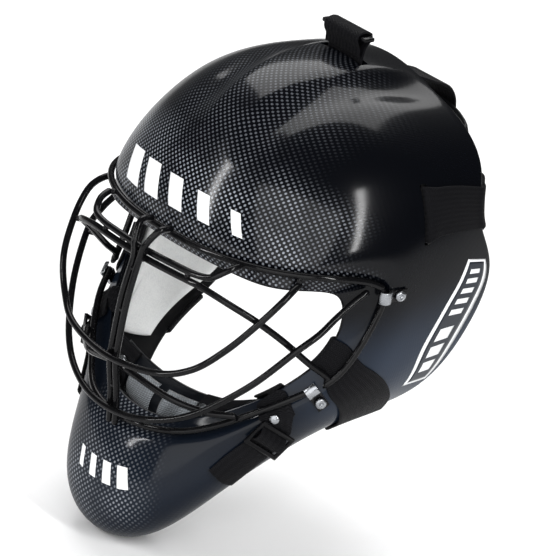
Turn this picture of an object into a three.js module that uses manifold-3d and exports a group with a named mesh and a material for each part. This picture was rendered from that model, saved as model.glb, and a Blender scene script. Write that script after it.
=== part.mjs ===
// Field hockey goalkeeper mask: carbon shell, wire cage, foam liner, chin cup, back plate and straps.
// Millimetres. X is the wearer's left, Y the back, Z up. The origin is the middle of the head.
import * as THREE from 'three';
import { mergeVertices } from 'three/addons/utils/BufferGeometryUtils.js';
import Module from 'manifold-3d';

const wasm = await Module();
wasm.setup();

// ---- driving dimensions ----
const SHELL_THICKNESS = 3.2;
const LINER_GAP = 1.2;
const CHEEK_GAP = 2.8;
const CHEEK_PAD_THICKNESS = 11;
const EDGE_PAD_THICKNESS = 5;
const HEAD_PAD_THICKNESS = 12;
const WIRE_RADIUS = 2.1;
const WIRE_SIDES = 8;
const WIRE_STEP = 9;
const BROW_WIRE_LIFT = 2.9;
const JAW_WIRE_LIFT = 5.2;
const CHIN_WEBBING_WIDTH = 20;
const WEBBING_THICKNESS = 1.6;
const WEBBING_LIFT = 0.6;
const SIDE_STRAP_WIDTH = 34;
const CROWN_STRAP_WIDTH = 34;
const CLIP_WIDTH = 8;
const CLIP_SHEET = 1.2;
const SCREW_RADIUS = 2;
const SCREW_HEAD_RADIUS = 3.6;
const NUT_RADIUS = 4;
const NUT_HEIGHT = 3;
const NUT_SEAT = 1.6;
const GAP = 0.35;

// ---- shell surface: rings of control points from the rear and lower rim to the face opening ----
// Each ring runs from the top centre down the wearer's left side to the chin centre.
const RIM = [[0, 26, 120], [39, 27, 111], [77, 29, 97], [102, 25, 78], [110, 14, 50], [109, 43, 18],
  [102, 36, -27], [94, 12, -73], [77, -51, -86], [51, -92, -130], [28, -111, -168], [0, -113, -178]];
const AFT = [[0, -22, 123], [40, -18, 116], [78, -12, 98], [103, -5, 78], [113, 2, 48], [112, 20, 13],
  [106, 12, -25], [100, -6, -66], [85, -60, -86], [60, -104, -130], [34, -132, -175], [0, -141, -185]];
const MID = [[0, -66, 117], [41, -60, 111], [79, -47, 92], [104, -29, 72], [114, -14, 44], [113, 2, 9],
  [109, -8, -25], [105, -24, -61], [90, -72, -83], [64, -115, -124], [38, -150, -168], [0, -158, -176]];
const FORE = [[0, -104, 95], [41, -97, 90], [77, -81, 75], [104, -53, 59], [114, -28, 39], [113, -14, 6],
  [110, -26, -25], [107, -40, -57], [92, -83, -78], [64, -120, -117], [39, -155, -149], [0, -164, -154]];
const BROW = [[0, -127, 62], [41, -121, 59], [77, -102, 51], [104, -74, 44], [114, -38, 32], [113, -31, 1],
  [110, -43, -26], [107, -56, -54], [91, -93, -74], [59, -125, -109], [36, -150, -125], [0, -158, -129]];
const CREASE = [[0, -135, 24], [38, -132, 23], [78, -115, 24], [101, -88, 27], [113, -42, 24], [110, -48, -3],
  [107, -57, -28], [102, -68, -52], [86, -101, -71], [55, -125, -98], [33, -145, -105], [0, -152, -107]];
const STEP = [[0, -129, 20], [37, -127, 19], [76, -112, 20], [97, -86, 22], [107, -46, 19], [105, -51, -4],
  [102, -60, -28], [97, -71, -48], [82, -99, -68], [53, -120, -95], [32, -138, -102], [0, -145, -104]];
const EDGE = [[0, -124, 10], [37, -122, 10], [74, -116, 11], [93, -95, 13], [97, -71, 10], [95, -64, -9],
  [94, -68, -26], [90, -78, -43], [75, -99, -65], [47, -117, -86], [29, -129, -95], [0, -134, -97]];

const closeRing = (half) => {
  const points = half.map((p) => new THREE.Vector3(...p));
  const mirrored = points.slice(1, -1).reverse().map((p) => new THREE.Vector3(-p.x, p.y, p.z));
  return [...points, ...mirrored];
};
const NET = [RIM, AFT, MID, FORE, BROW, CREASE, STEP, EDGE].map(closeRing);
const STATIONS = NET[0].length;
const LAST_ROW = NET.length - 1;
const CHIN_STATION = RIM.length - 1;

const blendWeights = (t) => [(1 - t) ** 3 / 6, (3 * t ** 3 - 6 * t ** 2 + 4) / 6,
  (-3 * t ** 3 + 3 * t ** 2 + 3 * t + 1) / 6, t ** 3 / 6];

// A row past either end continues the net in a straight line, so that the surface ends on its last ring.
const netPoint = (row, column) => {
  const c = ((column % STATIONS) + STATIONS) % STATIONS;
  if (row < 0) return NET[0][c].clone().multiplyScalar(2).sub(NET[1][c]);
  if (row > LAST_ROW) return NET[LAST_ROW][c].clone().multiplyScalar(2).sub(NET[LAST_ROW - 1][c]);
  return NET[row][c];
};

// Smooth surface point: u counts stations round the face, v counts rings from rim to opening.
const netSurface = (u, v) => {
  const row = Math.min(Math.max(Math.floor(v), 0), LAST_ROW - 1);
  const column = Math.floor(u);
  const across = blendWeights(v - row);
  const around = blendWeights(u - column);
  const point = new THREE.Vector3();
  for (let i = 0; i < 4; i += 1) {
    for (let j = 0; j < 4; j += 1) {
      point.addScaledVector(netPoint(row + i - 1, column + j - 1), across[i] * around[j]);
    }
  }
  return point;
};

// Beyond the rim or the opening the surface runs on straight.
const baseSkin = (u, v) => {
  const inside = Math.min(Math.max(v, 0), LAST_ROW);
  const point = netSurface(u, inside);
  if (v === inside) return point;
  const step = 0.05;
  const back = netSurface(u, v > inside ? inside - step : inside + step);
  return point.clone().addScaledVector(point.clone().sub(back), Math.abs(v - inside) / step);
};

const surfaceNormal = (surface, u, v, reach) => {
  const alongU = surface(u + reach, v).sub(surface(u - reach, v));
  const alongV = surface(u, v + reach).sub(surface(u, v - reach));
  return alongV.cross(alongU).normalize();
};

// Crown relief: a raised middle band between two ridges that spread towards the back, with a valley beside each.
const RIDGE = { front: -112, back: 12, inset: 10, spread: 0.13, height: 2.6, valley: 3.2, width: 17 };
const crownRelief = (p) => {
  const along = THREE.MathUtils.smoothstep(p.y, RIDGE.front - 8, RIDGE.front + 30)
    * (1 - THREE.MathUtils.smoothstep(p.y, RIDGE.back - 20, RIDGE.back + 25))
    * THREE.MathUtils.smoothstep(p.z, 55, 80);
  const ridge = RIDGE.inset + RIDGE.spread * (p.y - RIDGE.front);
  const beyond = Math.abs(p.x) - ridge;
  const band = RIDGE.height * (1 - THREE.MathUtils.smoothstep(beyond, -1, 7));
  const valley = RIDGE.valley * Math.exp(-(((beyond - RIDGE.width) / (0.6 * RIDGE.width)) ** 2));
  return along * (band - valley);
};

const skin = (u, v) => {
  const point = baseSkin(u, v);
  return point.clone().addScaledVector(surfaceNormal(baseSkin, u, v, 0.05), crownRelief(point));
};

// The wide reach keeps the offset surface from folding where the opening turns sharply.
const OFFSET_REACH = 0.35;
const offsetSkin = (u, v, depth) => skin(u, v)
  .addScaledVector(surfaceNormal(baseSkin, u, v, OFFSET_REACH), -depth);

// ---- solids ----
const lerp = THREE.MathUtils.lerp;
const between = (a, b, s) => [lerp(a[0], b[0], s), lerp(a[1], b[1], s)];

const solid = (positions, triangles) => {
  const geometry = new THREE.BufferGeometry();
  geometry.setAttribute('position', new THREE.Float32BufferAttribute(positions, 3));
  geometry.setIndex(triangles);
  return faceOut(geometry);
};

const faceOut = (geometry) => {
  const position = geometry.attributes.position;
  const index = geometry.index.array;
  const [a, b, c] = [new THREE.Vector3(), new THREE.Vector3(), new THREE.Vector3()];
  let volume = 0;
  for (let i = 0; i < index.length; i += 3) {
    a.fromBufferAttribute(position, index[i]);
    b.fromBufferAttribute(position, index[i + 1]);
    c.fromBufferAttribute(position, index[i + 2]);
    volume += a.dot(b.cross(c));
  }
  if (volume < 0) {
    for (let i = 0; i < index.length; i += 3) {
      [index[i], index[i + 1]] = [index[i + 1], index[i]];
    }
  }
  return geometry;
};

// A thick sheet: sheetPoint(s, t, side) gives the near face for side 0 and the far face for side 1.
const thickSheet = (sheetPoint, across, along, closed = false) => {
  const columns = across.length;
  const positions = [];
  for (const side of [0, 1]) {
    for (const s of across) {
      for (const t of along) positions.push(...sheetPoint(s, t, side).toArray());
    }
  }
  const rows = along.length;
  const id = (i, j, side) => side * columns * rows + (i % columns) * rows + j;
  const triangles = [];
  const quad = (a, b, c, d) => triangles.push(a, b, c, a, c, d);
  const spans = closed ? columns : columns - 1;
  for (let i = 0; i < spans; i += 1) {
    for (let j = 0; j < rows - 1; j += 1) {
      quad(id(i, j, 0), id(i + 1, j, 0), id(i + 1, j + 1, 0), id(i, j + 1, 0));
      quad(id(i, j, 1), id(i, j + 1, 1), id(i + 1, j + 1, 1), id(i + 1, j, 1));
    }
    quad(id(i, 0, 0), id(i, 0, 1), id(i + 1, 0, 1), id(i + 1, 0, 0));
    quad(id(i, rows - 1, 0), id(i + 1, rows - 1, 0), id(i + 1, rows - 1, 1), id(i, rows - 1, 1));
  }
  if (!closed) {
    for (let j = 0; j < rows - 1; j += 1) {
      quad(id(0, j, 0), id(0, j + 1, 0), id(0, j + 1, 1), id(0, j, 1));
      quad(id(columns - 1, j, 0), id(columns - 1, j, 1), id(columns - 1, j + 1, 1), id(columns - 1, j + 1, 0));
    }
  }
  return solid(positions, triangles);
};

const range = (from, to, count) => Array.from({ length: count + 1 }, (_, i) => lerp(from, to, i / count));

const tube = (points, radius = WIRE_RADIUS, sides = WIRE_SIDES, step = WIRE_STEP) => {
  const path = new THREE.CatmullRomCurve3(points, false, 'catmullrom', 0.5);
  const section = new THREE.Shape();
  section.absarc(0, 0, radius, 0, 2 * Math.PI, false);
  const steps = Math.max(6, Math.round(path.getLength() / step));
  return tidy(new THREE.ExtrudeGeometry(section, { steps, curveSegments: sides / 2, extrudePath: path }));
};

const tidy = (geometry) => {
  geometry.deleteAttribute('normal');
  geometry.deleteAttribute('uv');
  return faceOut(mergeVertices(geometry, 1e-4));
};

const toManifold = (geometry) => {
  const merged = geometry.index ? geometry : tidy(geometry);
  return new wasm.Manifold(new wasm.Mesh({
    numProp: 3,
    vertProperties: new Float32Array(merged.attributes.position.array),
    triVerts: new Uint32Array(merged.index.array),
  }));
};

const cutFrom = (geometry, tools) => {
  let body = toManifold(geometry);
  for (const tool of tools) body = body.subtract(toManifold(tool));
  const mesh = body.getMesh();
  return solid(Array.from(mesh.vertProperties), Array.from(mesh.triVerts));
};

const placed = (geometry, matrix) => tidy(geometry.applyMatrix4(matrix));

// Frame on the shell: z points out of the shell, x lies along the direction given.
const frameOn = (u, v, lift, direction) => {
  const z = surfaceNormal(baseSkin, u, v, OFFSET_REACH);
  const x = direction.clone().addScaledVector(z, -direction.dot(z)).normalize();
  const y = z.clone().cross(x);
  return new THREE.Matrix4().makeBasis(x, y, z).setPosition(offsetSkin(u, v, -lift));
};

const mirrorX = (geometry) => {
  const copy = geometry.clone();
  copy.applyMatrix4(new THREE.Matrix4().makeScale(-1, 1, 1));
  return faceOut(copy);
};

// ---- the assembly ----
const group = new THREE.Group();
const finish = (color, roughness, metalness = 0) => new THREE.MeshStandardMaterial({ color, roughness, metalness });
const CARBON = () => finish(0x10141c, 0.15);
const BLACK_WIRE = () => finish(0x0d0d0e, 0.3, 0.4);
const STEEL = () => finish(0xb9bcc0, 0.3, 1);
const FOAM = () => finish(0xe3e4e2, 0.85);
const BLACK_FABRIC = () => finish(0x141416, 0.85);
const BLACK_PLASTIC = () => finish(0x18191b, 0.45);

const add = (name, geometry, material) => {
  const mesh = new THREE.Mesh(geometry, material);
  mesh.name = name;
  group.add(mesh);
};

const addPair = (name, geometry, material) => {
  add(`${name}_left`, geometry, material());
  add(`${name}_right`, mirrorX(geometry), material());
};

// ---- clips and their screws: places on the shell, and the wire that each one holds ----
// The wire lies close under the brow and stands clear of the straps at the jaw.
const recessWire = (u, v = 5.6) => offsetSkin(u, v, -lerp(
  BROW_WIRE_LIFT,
  JAW_WIRE_LIFT,
  THREE.MathUtils.smoothstep(Math.abs(u), 4.7, 5.6),
));
const JAW_WIRE_V = 5.75;
const CLIPS = {
  upper: { screwU: 4.58, screwV: 4.55, wireFrom: 4.4, wireTo: 5.8, wireV: 5.6 },
  lower: { screwU: 7.4, screwV: 4.5, wireFrom: 7.3, wireTo: 8, wireV: JAW_WIRE_V },
};

// The nearest point of the wire, so that the clip lies square to it.
const clippedPoint = (clip) => {
  const seat = offsetSkin(clip.screwU, clip.screwV, 0);
  const choices = range(clip.wireFrom, clip.wireTo, 40).map((u) => recessWire(u, clip.wireV));
  return choices.reduce((best, p) => (p.distanceTo(seat) < best.distanceTo(seat) ? p : best));
};

const clipFrame = (clip) => {
  const seat = offsetSkin(clip.screwU, clip.screwV, 0);
  return frameOn(clip.screwU, clip.screwV, 0, clippedPoint(clip).sub(seat));
};

const boreAlongZ = (radius, length = 30) => tidy(new THREE.CylinderGeometry(radius, radius, length, 12)
  .rotateX(Math.PI / 2));
const screwBore = () => boreAlongZ(SCREW_RADIUS + GAP);
const JAW_RIVET = [8.03, 4.84];
const jawFrame = () => frameOn(...JAW_RIVET, 0, new THREE.Vector3(0, 0, -1));
const jawBore = () => placed(boreAlongZ(1.95, 12), jawFrame());
const nutPocket = (clip) => placed(boreAlongZ(NUT_RADIUS + 1.2), clipFrame(clip));

// ---- shell ----
const SLOT_LENGTH = 37;
const SLOT_WIDTH = 5;
const CROWN_SLOT_Y = -10;
const crownSlot = () => {
  const slot = new THREE.BoxGeometry(CROWN_STRAP_WIDTH + 4, SLOT_WIDTH + 1.5, 40);
  return placed(slot, new THREE.Matrix4().makeTranslation(0, CROWN_SLOT_Y, 118));
};

// The side slot is the front line of the side strap.
const SIDE_STRAP = { frontTop: [2.98, 1.72], frontBottom: [3.86, 2.42], rearTop: [3.3, 0], rearBottom: [4.16, 0] };
const sideSlotFrame = (lift) => {
  const [u0, v0] = SIDE_STRAP.frontTop;
  const [u1, v1] = SIDE_STRAP.frontBottom;
  const direction = skin(u1, v1).sub(skin(u0, v0));
  return frameOn((u0 + u1) / 2, (v0 + v1) / 2, lift, direction);
};
const sideSlot = () => placed(new THREE.BoxGeometry(SLOT_LENGTH, SLOT_WIDTH, 20), sideSlotFrame(0));

const shellRows = [0, 0.4, 0.85, 1.3, 1.8, 2.3, 2.8, 3.3, 3.8, 4.2, 4.5, 4.75, 5, 5.25, 5.5, 5.75, 6, 6.4, 7];
const FACETS_PER_STATION = 3;
const shellColumns = Array.from({ length: STATIONS * FACETS_PER_STATION }, (_, i) => i / FACETS_PER_STATION);
const shell = () => {
  const sheet = thickSheet((u, v, side) => offsetSkin(u, v, side * SHELL_THICKNESS), shellColumns, shellRows, true);
  const screwHoles = Object.values(CLIPS).map((clip) => placed(screwBore(), clipFrame(clip)));
  const sideCuts = [sideSlot(), ...screwHoles, jawBore()];
  return cutFrom(sheet, [crownSlot(), ...sideCuts, ...sideCuts.map(mirrorX)]);
};
add('shell', shell(), CARBON());

// ---- foam liner ----
const linerPad = (us, vs, thickness, gap = LINER_GAP) => thickSheet(
  (u, v, side) => offsetSkin(u, v, SHELL_THICKNESS + gap + side * thickness(v)),
  us,
  vs,
);
const evenPad = () => HEAD_PAD_THICKNESS;
const cheekThickness = (v) => lerp(CHEEK_PAD_THICKNESS, EDGE_PAD_THICKNESS,
  THREE.MathUtils.smoothstep(v, 4, 6));
add('forehead_pad', linerPad(range(-1.7, 1.7, 8), range(3.15, 4.6, 4), evenPad), FOAM());
add('crown_pad', linerPad(range(-1.4, 1.4, 6), range(1.35, 2.9, 4), evenPad, LINER_GAP + 3), FOAM());
addPair('temple_pad', linerPad(range(1.95, 2.75, 3), range(0.6, 4.2, 7), evenPad), FOAM);
const earPad = () => cutFrom(
  linerPad(range(4.25, 5.72, 4), range(0.15, 4.3, 6), evenPad),
  [nutPocket(CLIPS.upper)],
);
addPair('ear_pad', earPad(), FOAM);
const cheekPad = () => {
  const rows = [0.45, 1.2, 2, 2.6, 3.3, 4, 4.7, 5.3, 5.9, 6.5];
  const pad = linerPad(range(5.8, 8.2, 8), rows, cheekThickness, CHEEK_GAP);
  return cutFrom(pad, [nutPocket(CLIPS.lower), placed(boreAlongZ(4, 16), jawFrame())]);
};
addPair('cheek_pad', cheekPad(), FOAM);
add('chin_liner', linerPad(range(8.8, 2 * CHIN_STATION - 8.8, 10), [1.7, 2.6, 3.5, 4.3], () => 6), FOAM());

// ---- cage wires ----
const vec = (p) => new THREE.Vector3(...p);
const acrossFace = (half) => [
  ...half.slice(1).reverse().map(([x, y, z]) => vec([-x, y, z])),
  ...half.map(vec),
];
const UPPER_BAR = [[0, -164, -58], [38, -159.5, -54], [60, -151, -44], [76.5, -142, -26], [87, -128.5, -6],
  [91.5, -117, 8], [91, -109, 14], [89, -103, 16.5]];
const LOWER_BAR = [[0, -157.5, -93], [30, -154, -89], [58, -143, -76], [83, -124.5, -50], [98.5, -105, -23],
  [102.5, -92, -12], [102.5, -81, -3.5], [104, -70, 6], [105.5, -62, 12]];
const CROSS_BAR = [[0, -149, 5], [30, -148, 5.5], [50, -145, 5], [69, -138, 0.5], [82, -126, -7],
  [90, -109, -19], [95.5, -90, -34], [100, -76, -44]];
const CHIN_BAR = [[0, -154.5, -64.5], [35, -145, -72.5], [56, -131, -76.5], [69.5, -119, -75.5]];
const BROW_LOOP = [[0, -148, 9.8], [28, -147, 10.4], [44, -145, 10.6], [54, -142, 12.5], [59.5, -135, 18], [61, -128, 20.5]];
const CENTRE_WIRE = [[9, -138.5, 25.5], [8.8, -147, 25], [5, -153.2, 15], [2.6, -153.8, 5], [2.6, -158, -20],
  [2.6, -159.3, -45], [2.6, -159.1, -62], [2.6, -155, -80], [2.6, -152.4, -95], [2.6, -151.5, -103]];

const sideOfFrame = range(4.3, 6.75, 12).map((u) => recessWire(u));
const crossHalf = CROSS_BAR.slice(1).map(vec);
const jawCorner = [recessWire(7.05)];
const frameHalf = [...crossHalf, ...jawCorner, ...sideOfFrame.slice().reverse()];
const mirrorPoint = (p) => new THREE.Vector3(-p.x, p.y, p.z);
const framePath = [...frameHalf.slice().reverse().map(mirrorPoint), vec(CROSS_BAR[0]), ...frameHalf];
add('cage_cross_wire', tube(framePath), BLACK_WIRE());
add('cage_brow_wire', tube(range(-4, 4, 24).map((u) => recessWire(u))), BLACK_WIRE());
const JAW_WIRE_END = 7.28;
const jawStations = range(JAW_WIRE_END, 2 * CHIN_STATION - JAW_WIRE_END, 14);
add('cage_jaw_wire', tube(jawStations.map((u) => recessWire(u, JAW_WIRE_V))), BLACK_WIRE());
add('cage_upper_bar', tube(acrossFace(UPPER_BAR)), BLACK_WIRE());
add('cage_lower_bar', tube(acrossFace(LOWER_BAR)), BLACK_WIRE());
add('cage_chin_bar', tube(acrossFace(CHIN_BAR)), BLACK_WIRE());
add('cage_brow_loop', tube(acrossFace(BROW_LOOP)), BLACK_WIRE());
addPair('cage_centre_wire', tube(CENTRE_WIRE.map(vec)), BLACK_WIRE);

// ---- clips, screws and nuts that hold the cage ----
const SEAT_GAP = 0.35;
const clipSection = (reach, height) => {
  const inner = WIRE_RADIUS + 3 * GAP;
  const outer = inner + CLIP_SHEET;
  const shape = new THREE.Shape();
  const around = (radius, from, to, steps) => range(from, to, steps).map((degrees) => {
    const angle = THREE.MathUtils.degToRad(degrees);
    return [reach + radius * Math.cos(angle), height + radius * Math.sin(angle)];
  });
  const low = SEAT_GAP;
  const points = [[-5, low], [reach - outer - 1.5, low], ...around(inner, 200, 10, 10),
    ...around(outer, 10, 160, 8), [reach - outer - 2.5, low + CLIP_SHEET], [-5, low + CLIP_SHEET]];
  points.forEach(([x, y], i) => (i ? shape.lineTo(x, y) : shape.moveTo(x, y)));
  return shape;
};

const clip = (place) => {
  const frame = clipFrame(place);
  const wire = clippedPoint(place).applyMatrix4(frame.clone().invert());
  const section = new THREE.ExtrudeGeometry(
    clipSection(wire.x, wire.z),
    { depth: CLIP_WIDTH, bevelEnabled: false },
  );
  section.translate(0, 0, -CLIP_WIDTH / 2).rotateX(Math.PI / 2);
  return placed(cutFrom(tidy(section), [screwBore()]), frame);
};

const revolve = (profile, segments = 16) => tidy(new THREE.LatheGeometry(
  profile.map(([r, z]) => new THREE.Vector2(r, z)),
  segments,
).rotateX(Math.PI / 2));

const SCREW_SEAT = SEAT_GAP + CLIP_SHEET + GAP;
const SCREW_TIP = -(SHELL_THICKNESS + NUT_SEAT + NUT_HEIGHT + 0.8);
const screw = () => revolve([[0, SCREW_TIP], [SCREW_RADIUS, SCREW_TIP], [SCREW_RADIUS, SCREW_SEAT],
  [SCREW_HEAD_RADIUS, SCREW_SEAT], [SCREW_HEAD_RADIUS, SCREW_SEAT + 0.8],
  [0.7 * SCREW_HEAD_RADIUS, SCREW_SEAT + 2],
  [0, SCREW_SEAT + 2.4]]);
const nut = () => {
  const body = new THREE.CylinderGeometry(NUT_RADIUS, NUT_RADIUS, NUT_HEIGHT, 6).rotateX(Math.PI / 2);
  body.translate(0, 0, -SHELL_THICKNESS - NUT_SEAT - NUT_HEIGHT / 2);
  return cutFrom(tidy(body), [screwBore()]);
};

for (const [name, place] of Object.entries(CLIPS)) {
  addPair(`${name}_clip`, clip(place), STEEL);
  addPair(`${name}_screw`, placed(screw(), clipFrame(place)), STEEL);
  addPair(`${name}_nut`, placed(nut(), clipFrame(place)), STEEL);
}

// ---- straps ----
// A strap is a row of stations; each holds points across its width and the way its outer face looks there.
const STRAP_COLUMNS = 3;
const acrossStrap = range(0, 1, STRAP_COLUMNS);
const strap = (stations, thickness = WEBBING_THICKNESS) => thickSheet(
  (i, j, side) => stations[i][j].point.clone().addScaledVector(stations[i][j].out, side * thickness),
  stations.map((_, i) => i),
  acrossStrap.map((_, j) => j),
);

// A station lying on the shell between two surface places.
const onShell = (placeA, placeB, lift = WEBBING_LIFT) => acrossStrap.map((s) => {
  const [u, v] = [lerp(placeA[0], placeB[0], s), lerp(placeA[1], placeB[1], s)];
  return { point: offsetSkin(u, v, -lift), out: surfaceNormal(baseSkin, u, v, OFFSET_REACH) };
});

// A straight station in the air between two points.
const inAir = (a, b, out) => acrossStrap.map((s) => ({
  point: vec(a).lerp(vec(b), s),
  out: vec(out).normalize(),
}));

// Stations turning round an edge of the shell: v = 0 is the rim, v = LAST_ROW the face opening.
const roundEdge = (uA, uB, v, angles, lift = WEBBING_LIFT + 0.5) => angles.map((angle) => acrossStrap.map((s) => {
  const u = lerp(uA, uB, s);
  const out = surfaceNormal(baseSkin, u, v, OFFSET_REACH);
  const away = baseSkin(u, v).sub(baseSkin(u, v === 0 ? 0.1 : v - 0.1)).normalize();
  const turn = THREE.MathUtils.degToRad(angle);
  const look = out.clone().multiplyScalar(Math.cos(turn)).addScaledVector(away, Math.sin(turn));
  const point = offsetSkin(u, v, SHELL_THICKNESS / 2).addScaledVector(look, SHELL_THICKNESS / 2 + lift);
  return { point, out: look };
}));

// ---- rivets: a head on the strap, a shank through it and what is behind it, and a spread tail ----
const RIVET = { head: 4.2, headHeight: 1.3, shank: 1.6, tail: 2.9, tailHeight: 1, boreLength: 12, smallHead: 3 };
const rivet = (above, below, head = RIVET.head) => revolve([[0, -below - RIVET.tailHeight],
  [RIVET.tail, -below - RIVET.tailHeight], [RIVET.tail, -below], [RIVET.shank, -below], [RIVET.shank, above], [head, above],
  [head, above + 0.4], [0.6 * head, above + RIVET.headHeight], [0, above + RIVET.headHeight + 0.2]], 12);
const rivetBore = (frame) => placed(boreAlongZ(RIVET.shank + GAP, RIVET.boreLength), frame);
const overStrap = (lift) => lift + WEBBING_THICKNESS + GAP;

// ---- back plate ----
const PLATE = { radius: 83, centreY: 4, bottom: -58, top: 84, halfAngle: 58, thickness: 3, inset: 14 };
const plateRadius = (z) => PLATE.radius - PLATE.inset * THREE.MathUtils.smoothstep(z, 30, 110) - 6
  * THREE.MathUtils.smoothstep(-z, 20, 90);
const plateHalfAngle = (z) => PLATE.halfAngle * (1 - 0.35 * THREE.MathUtils.smoothstep(Math.abs(z - 20), 35, 80));
const plateSkin = (s, z, offset = 0) => {
  const angle = THREE.MathUtils.degToRad(s * plateHalfAngle(z));
  const radius = plateRadius(z) + offset;
  return new THREE.Vector3(radius * Math.sin(angle), PLATE.centreY + radius * Math.cos(angle), z);
};
const plateNormal = (s, z) => {
  const alongS = plateSkin(s + 0.01, z).sub(plateSkin(s - 0.01, z));
  const alongZ = plateSkin(s, z + 0.5).sub(plateSkin(s, z - 0.5));
  return alongZ.cross(alongS).normalize();
};
const plateFrame = (s, z) => {
  const out = plateNormal(s, z);
  const up = new THREE.Vector3(0, 0, 1).addScaledVector(out, -out.z).normalize();
  return new THREE.Matrix4().makeBasis(up, out.clone().cross(up), out).setPosition(plateSkin(s, z));
};
const PLATE_STRAP_LIFT = 0.9;
const SIDE_STRAP_ON_PLATE = 47;
const CROWN_RIVET = [0, 61];
const SIDE_RIVET = [0.76, SIDE_STRAP_ON_PLATE];
const onPlateSide = (s, top, bottom) => acrossStrap.map((w) => {
  const z = lerp(top, bottom, w);
  return { point: plateSkin(s, z, PLATE_STRAP_LIFT), out: plateNormal(s, z) };
});
const plateBores = () => {
  const side = rivetBore(plateFrame(...SIDE_RIVET));
  return [rivetBore(plateFrame(...CROWN_RIVET)), side, mirrorX(side)];
};
const backPlate = () => cutFrom(thickSheet(
  (s, z, side) => plateSkin(s, z, -side * PLATE.thickness),
  range(-1, 1, 16),
  range(PLATE.bottom, PLATE.top, 12),
), plateBores());
add('back_plate', backPlate(), BLACK_PLASTIC());
const PLATE_PAD_GAP = 2.4;
add('back_plate_pad', thickSheet((s, z, side) => plateSkin(s, z, -PLATE.thickness - PLATE_PAD_GAP - side * 8),
  range(-0.86, 0.86, 10), range(PLATE.bottom + 8, PLATE.top - 10, 8)), FOAM());
const plateRivet = (place) => placed(
  rivet(overStrap(PLATE_STRAP_LIFT) + 0.4, PLATE.thickness + 0.7),
  plateFrame(...place),
);
add('crown_strap_rivet', plateRivet(CROWN_RIVET), STEEL());
addPair('side_strap_rivet', plateRivet(SIDE_RIVET), STEEL);

// ---- side straps: round a keeper rod inside, out through the slot, back over the shell to the back plate ----
const KEEPER = { radius: 2, depth: 9, setback: 3.8, length: 40 };
const sideSlotStation = (back, height, lookBack, lookOut) => {
  const frame = sideSlotFrame(0);
  return acrossStrap.map((s) => ({
    point: new THREE.Vector3((s - 0.5) * SIDE_STRAP_WIDTH, back, height).applyMatrix4(frame),
    out: new THREE.Vector3(0, lookBack, lookOut).normalize().transformDirection(frame),
  }));
};

const keeperHook = (sign) => range(360, 180, 4).map((degrees) => {
  const angle = THREE.MathUtils.degToRad(degrees);
  const radius = KEEPER.radius + GAP + 0.15;
  return sideSlotStation(sign * (KEEPER.setback + radius * Math.cos(angle)), -KEEPER.depth + radius * Math.sin(angle),
    sign * Math.cos(angle), Math.sin(angle));
});

const keeperRod = (frame, sign) => {
  const rod = new THREE.CylinderGeometry(KEEPER.radius, KEEPER.radius, KEEPER.length, 10).rotateZ(Math.PI / 2);
  rod.translate(0, sign * KEEPER.setback, -KEEPER.depth);
  return placed(rod, frame);
};

const BACK = 1;
const sideStrap = () => {
  const { frontTop, frontBottom, rearTop, rearBottom } = SIDE_STRAP;
  const across = (t) => [
    [lerp(frontTop[0], rearTop[0], t), lerp(frontTop[1], rearTop[1], t)],
    [lerp(frontBottom[0], rearBottom[0], t), lerp(frontBottom[1], rearBottom[1], t)],
  ];
  const lying = [0.16, 0.3, 0.45, 0.6, 0.75, 0.9].map((t) => onShell(...across(t), WEBBING_LIFT + 0.2));
  const ends = [
    inAir([90, 36, 66], [92.5, 40, 34], [0.72, 0.69, 0]),
    inAir([79, 46, 65], [81, 48, 32], [0.7, 0.71, 0]),
    ...[0.93, 0.8, 0.66].map((s) => onPlateSide(s, SIDE_STRAP_ON_PLATE + 16, SIDE_STRAP_ON_PLATE - 16)),
  ];
  return strap([...keeperHook(BACK), sideSlotStation(BACK * 1.2, 0, -BACK, 0.4), ...lying,
    ...roundEdge(rearTop[0], rearBottom[0], 0, [15, 45]), ...ends]);
};

addPair('side_strap', cutFrom(sideStrap(), [rivetBore(plateFrame(...SIDE_RIVET))]), BLACK_FABRIC);
addPair('side_strap_keeper', keeperRod(sideSlotFrame(0), BACK), BLACK_PLASTIC);

// ---- crown strap: up through the crown slot, over the slider bar and down inside to the back plate ----
const flatStation = (y, z, lookY, lookZ, width = CROWN_STRAP_WIDTH - 3) => inAir([-width / 2, y, z], [width / 2, y, z],
  [0, lookY, lookZ]);
const SLIDER_TOP = 137.3;
const onPlate = (z) => acrossStrap.map((s) => ({
  point: plateSkin(0, z, PLATE_STRAP_LIFT).setX((s - 0.5) * (CROWN_STRAP_WIDTH - 3)),
  out: new THREE.Vector3(0, 1, 0.15).normalize(),
}));
const crownStrap = () => strap([
  flatStation(CROWN_SLOT_Y - 1.6, 124, -1, 0),
  flatStation(CROWN_SLOT_Y - 2.2, 129, -1, 0.1),
  flatStation(CROWN_SLOT_Y - 4.9, SLIDER_TOP - 3.1, -1, -0.15),
  flatStation(CROWN_SLOT_Y - 4.8, SLIDER_TOP, -0.8, 0.6),
  flatStation(CROWN_SLOT_Y - 3.4, SLIDER_TOP + 0.7, 0, 1),
  flatStation(CROWN_SLOT_Y + 3.4, SLIDER_TOP + 0.7, 0, 1),
  flatStation(CROWN_SLOT_Y + 4.8, SLIDER_TOP, 0.8, 0.6),
  flatStation(CROWN_SLOT_Y + 4.9, SLIDER_TOP - 3.1, 1, -0.15),
  flatStation(CROWN_SLOT_Y + 1.4, 129, 1, 0.1),
  flatStation(CROWN_SLOT_Y + 0.6, 124, 1, 0),
  flatStation(CROWN_SLOT_Y + 0.6, 115, 1, 0),
  flatStation(CROWN_SLOT_Y + 3, 112, 0.7, 0.7),
  flatStation(CROWN_SLOT_Y + 8, 111.5, 0, 1),
  flatStation(26, 108, 0, 1),
  flatStation(58, 98, 0.3, 1),
  flatStation(72, 92.5, 0.6, 0.8),
  onPlate(86),
  onPlate(78),
  onPlate(66),
  onPlate(54),
]);
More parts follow.
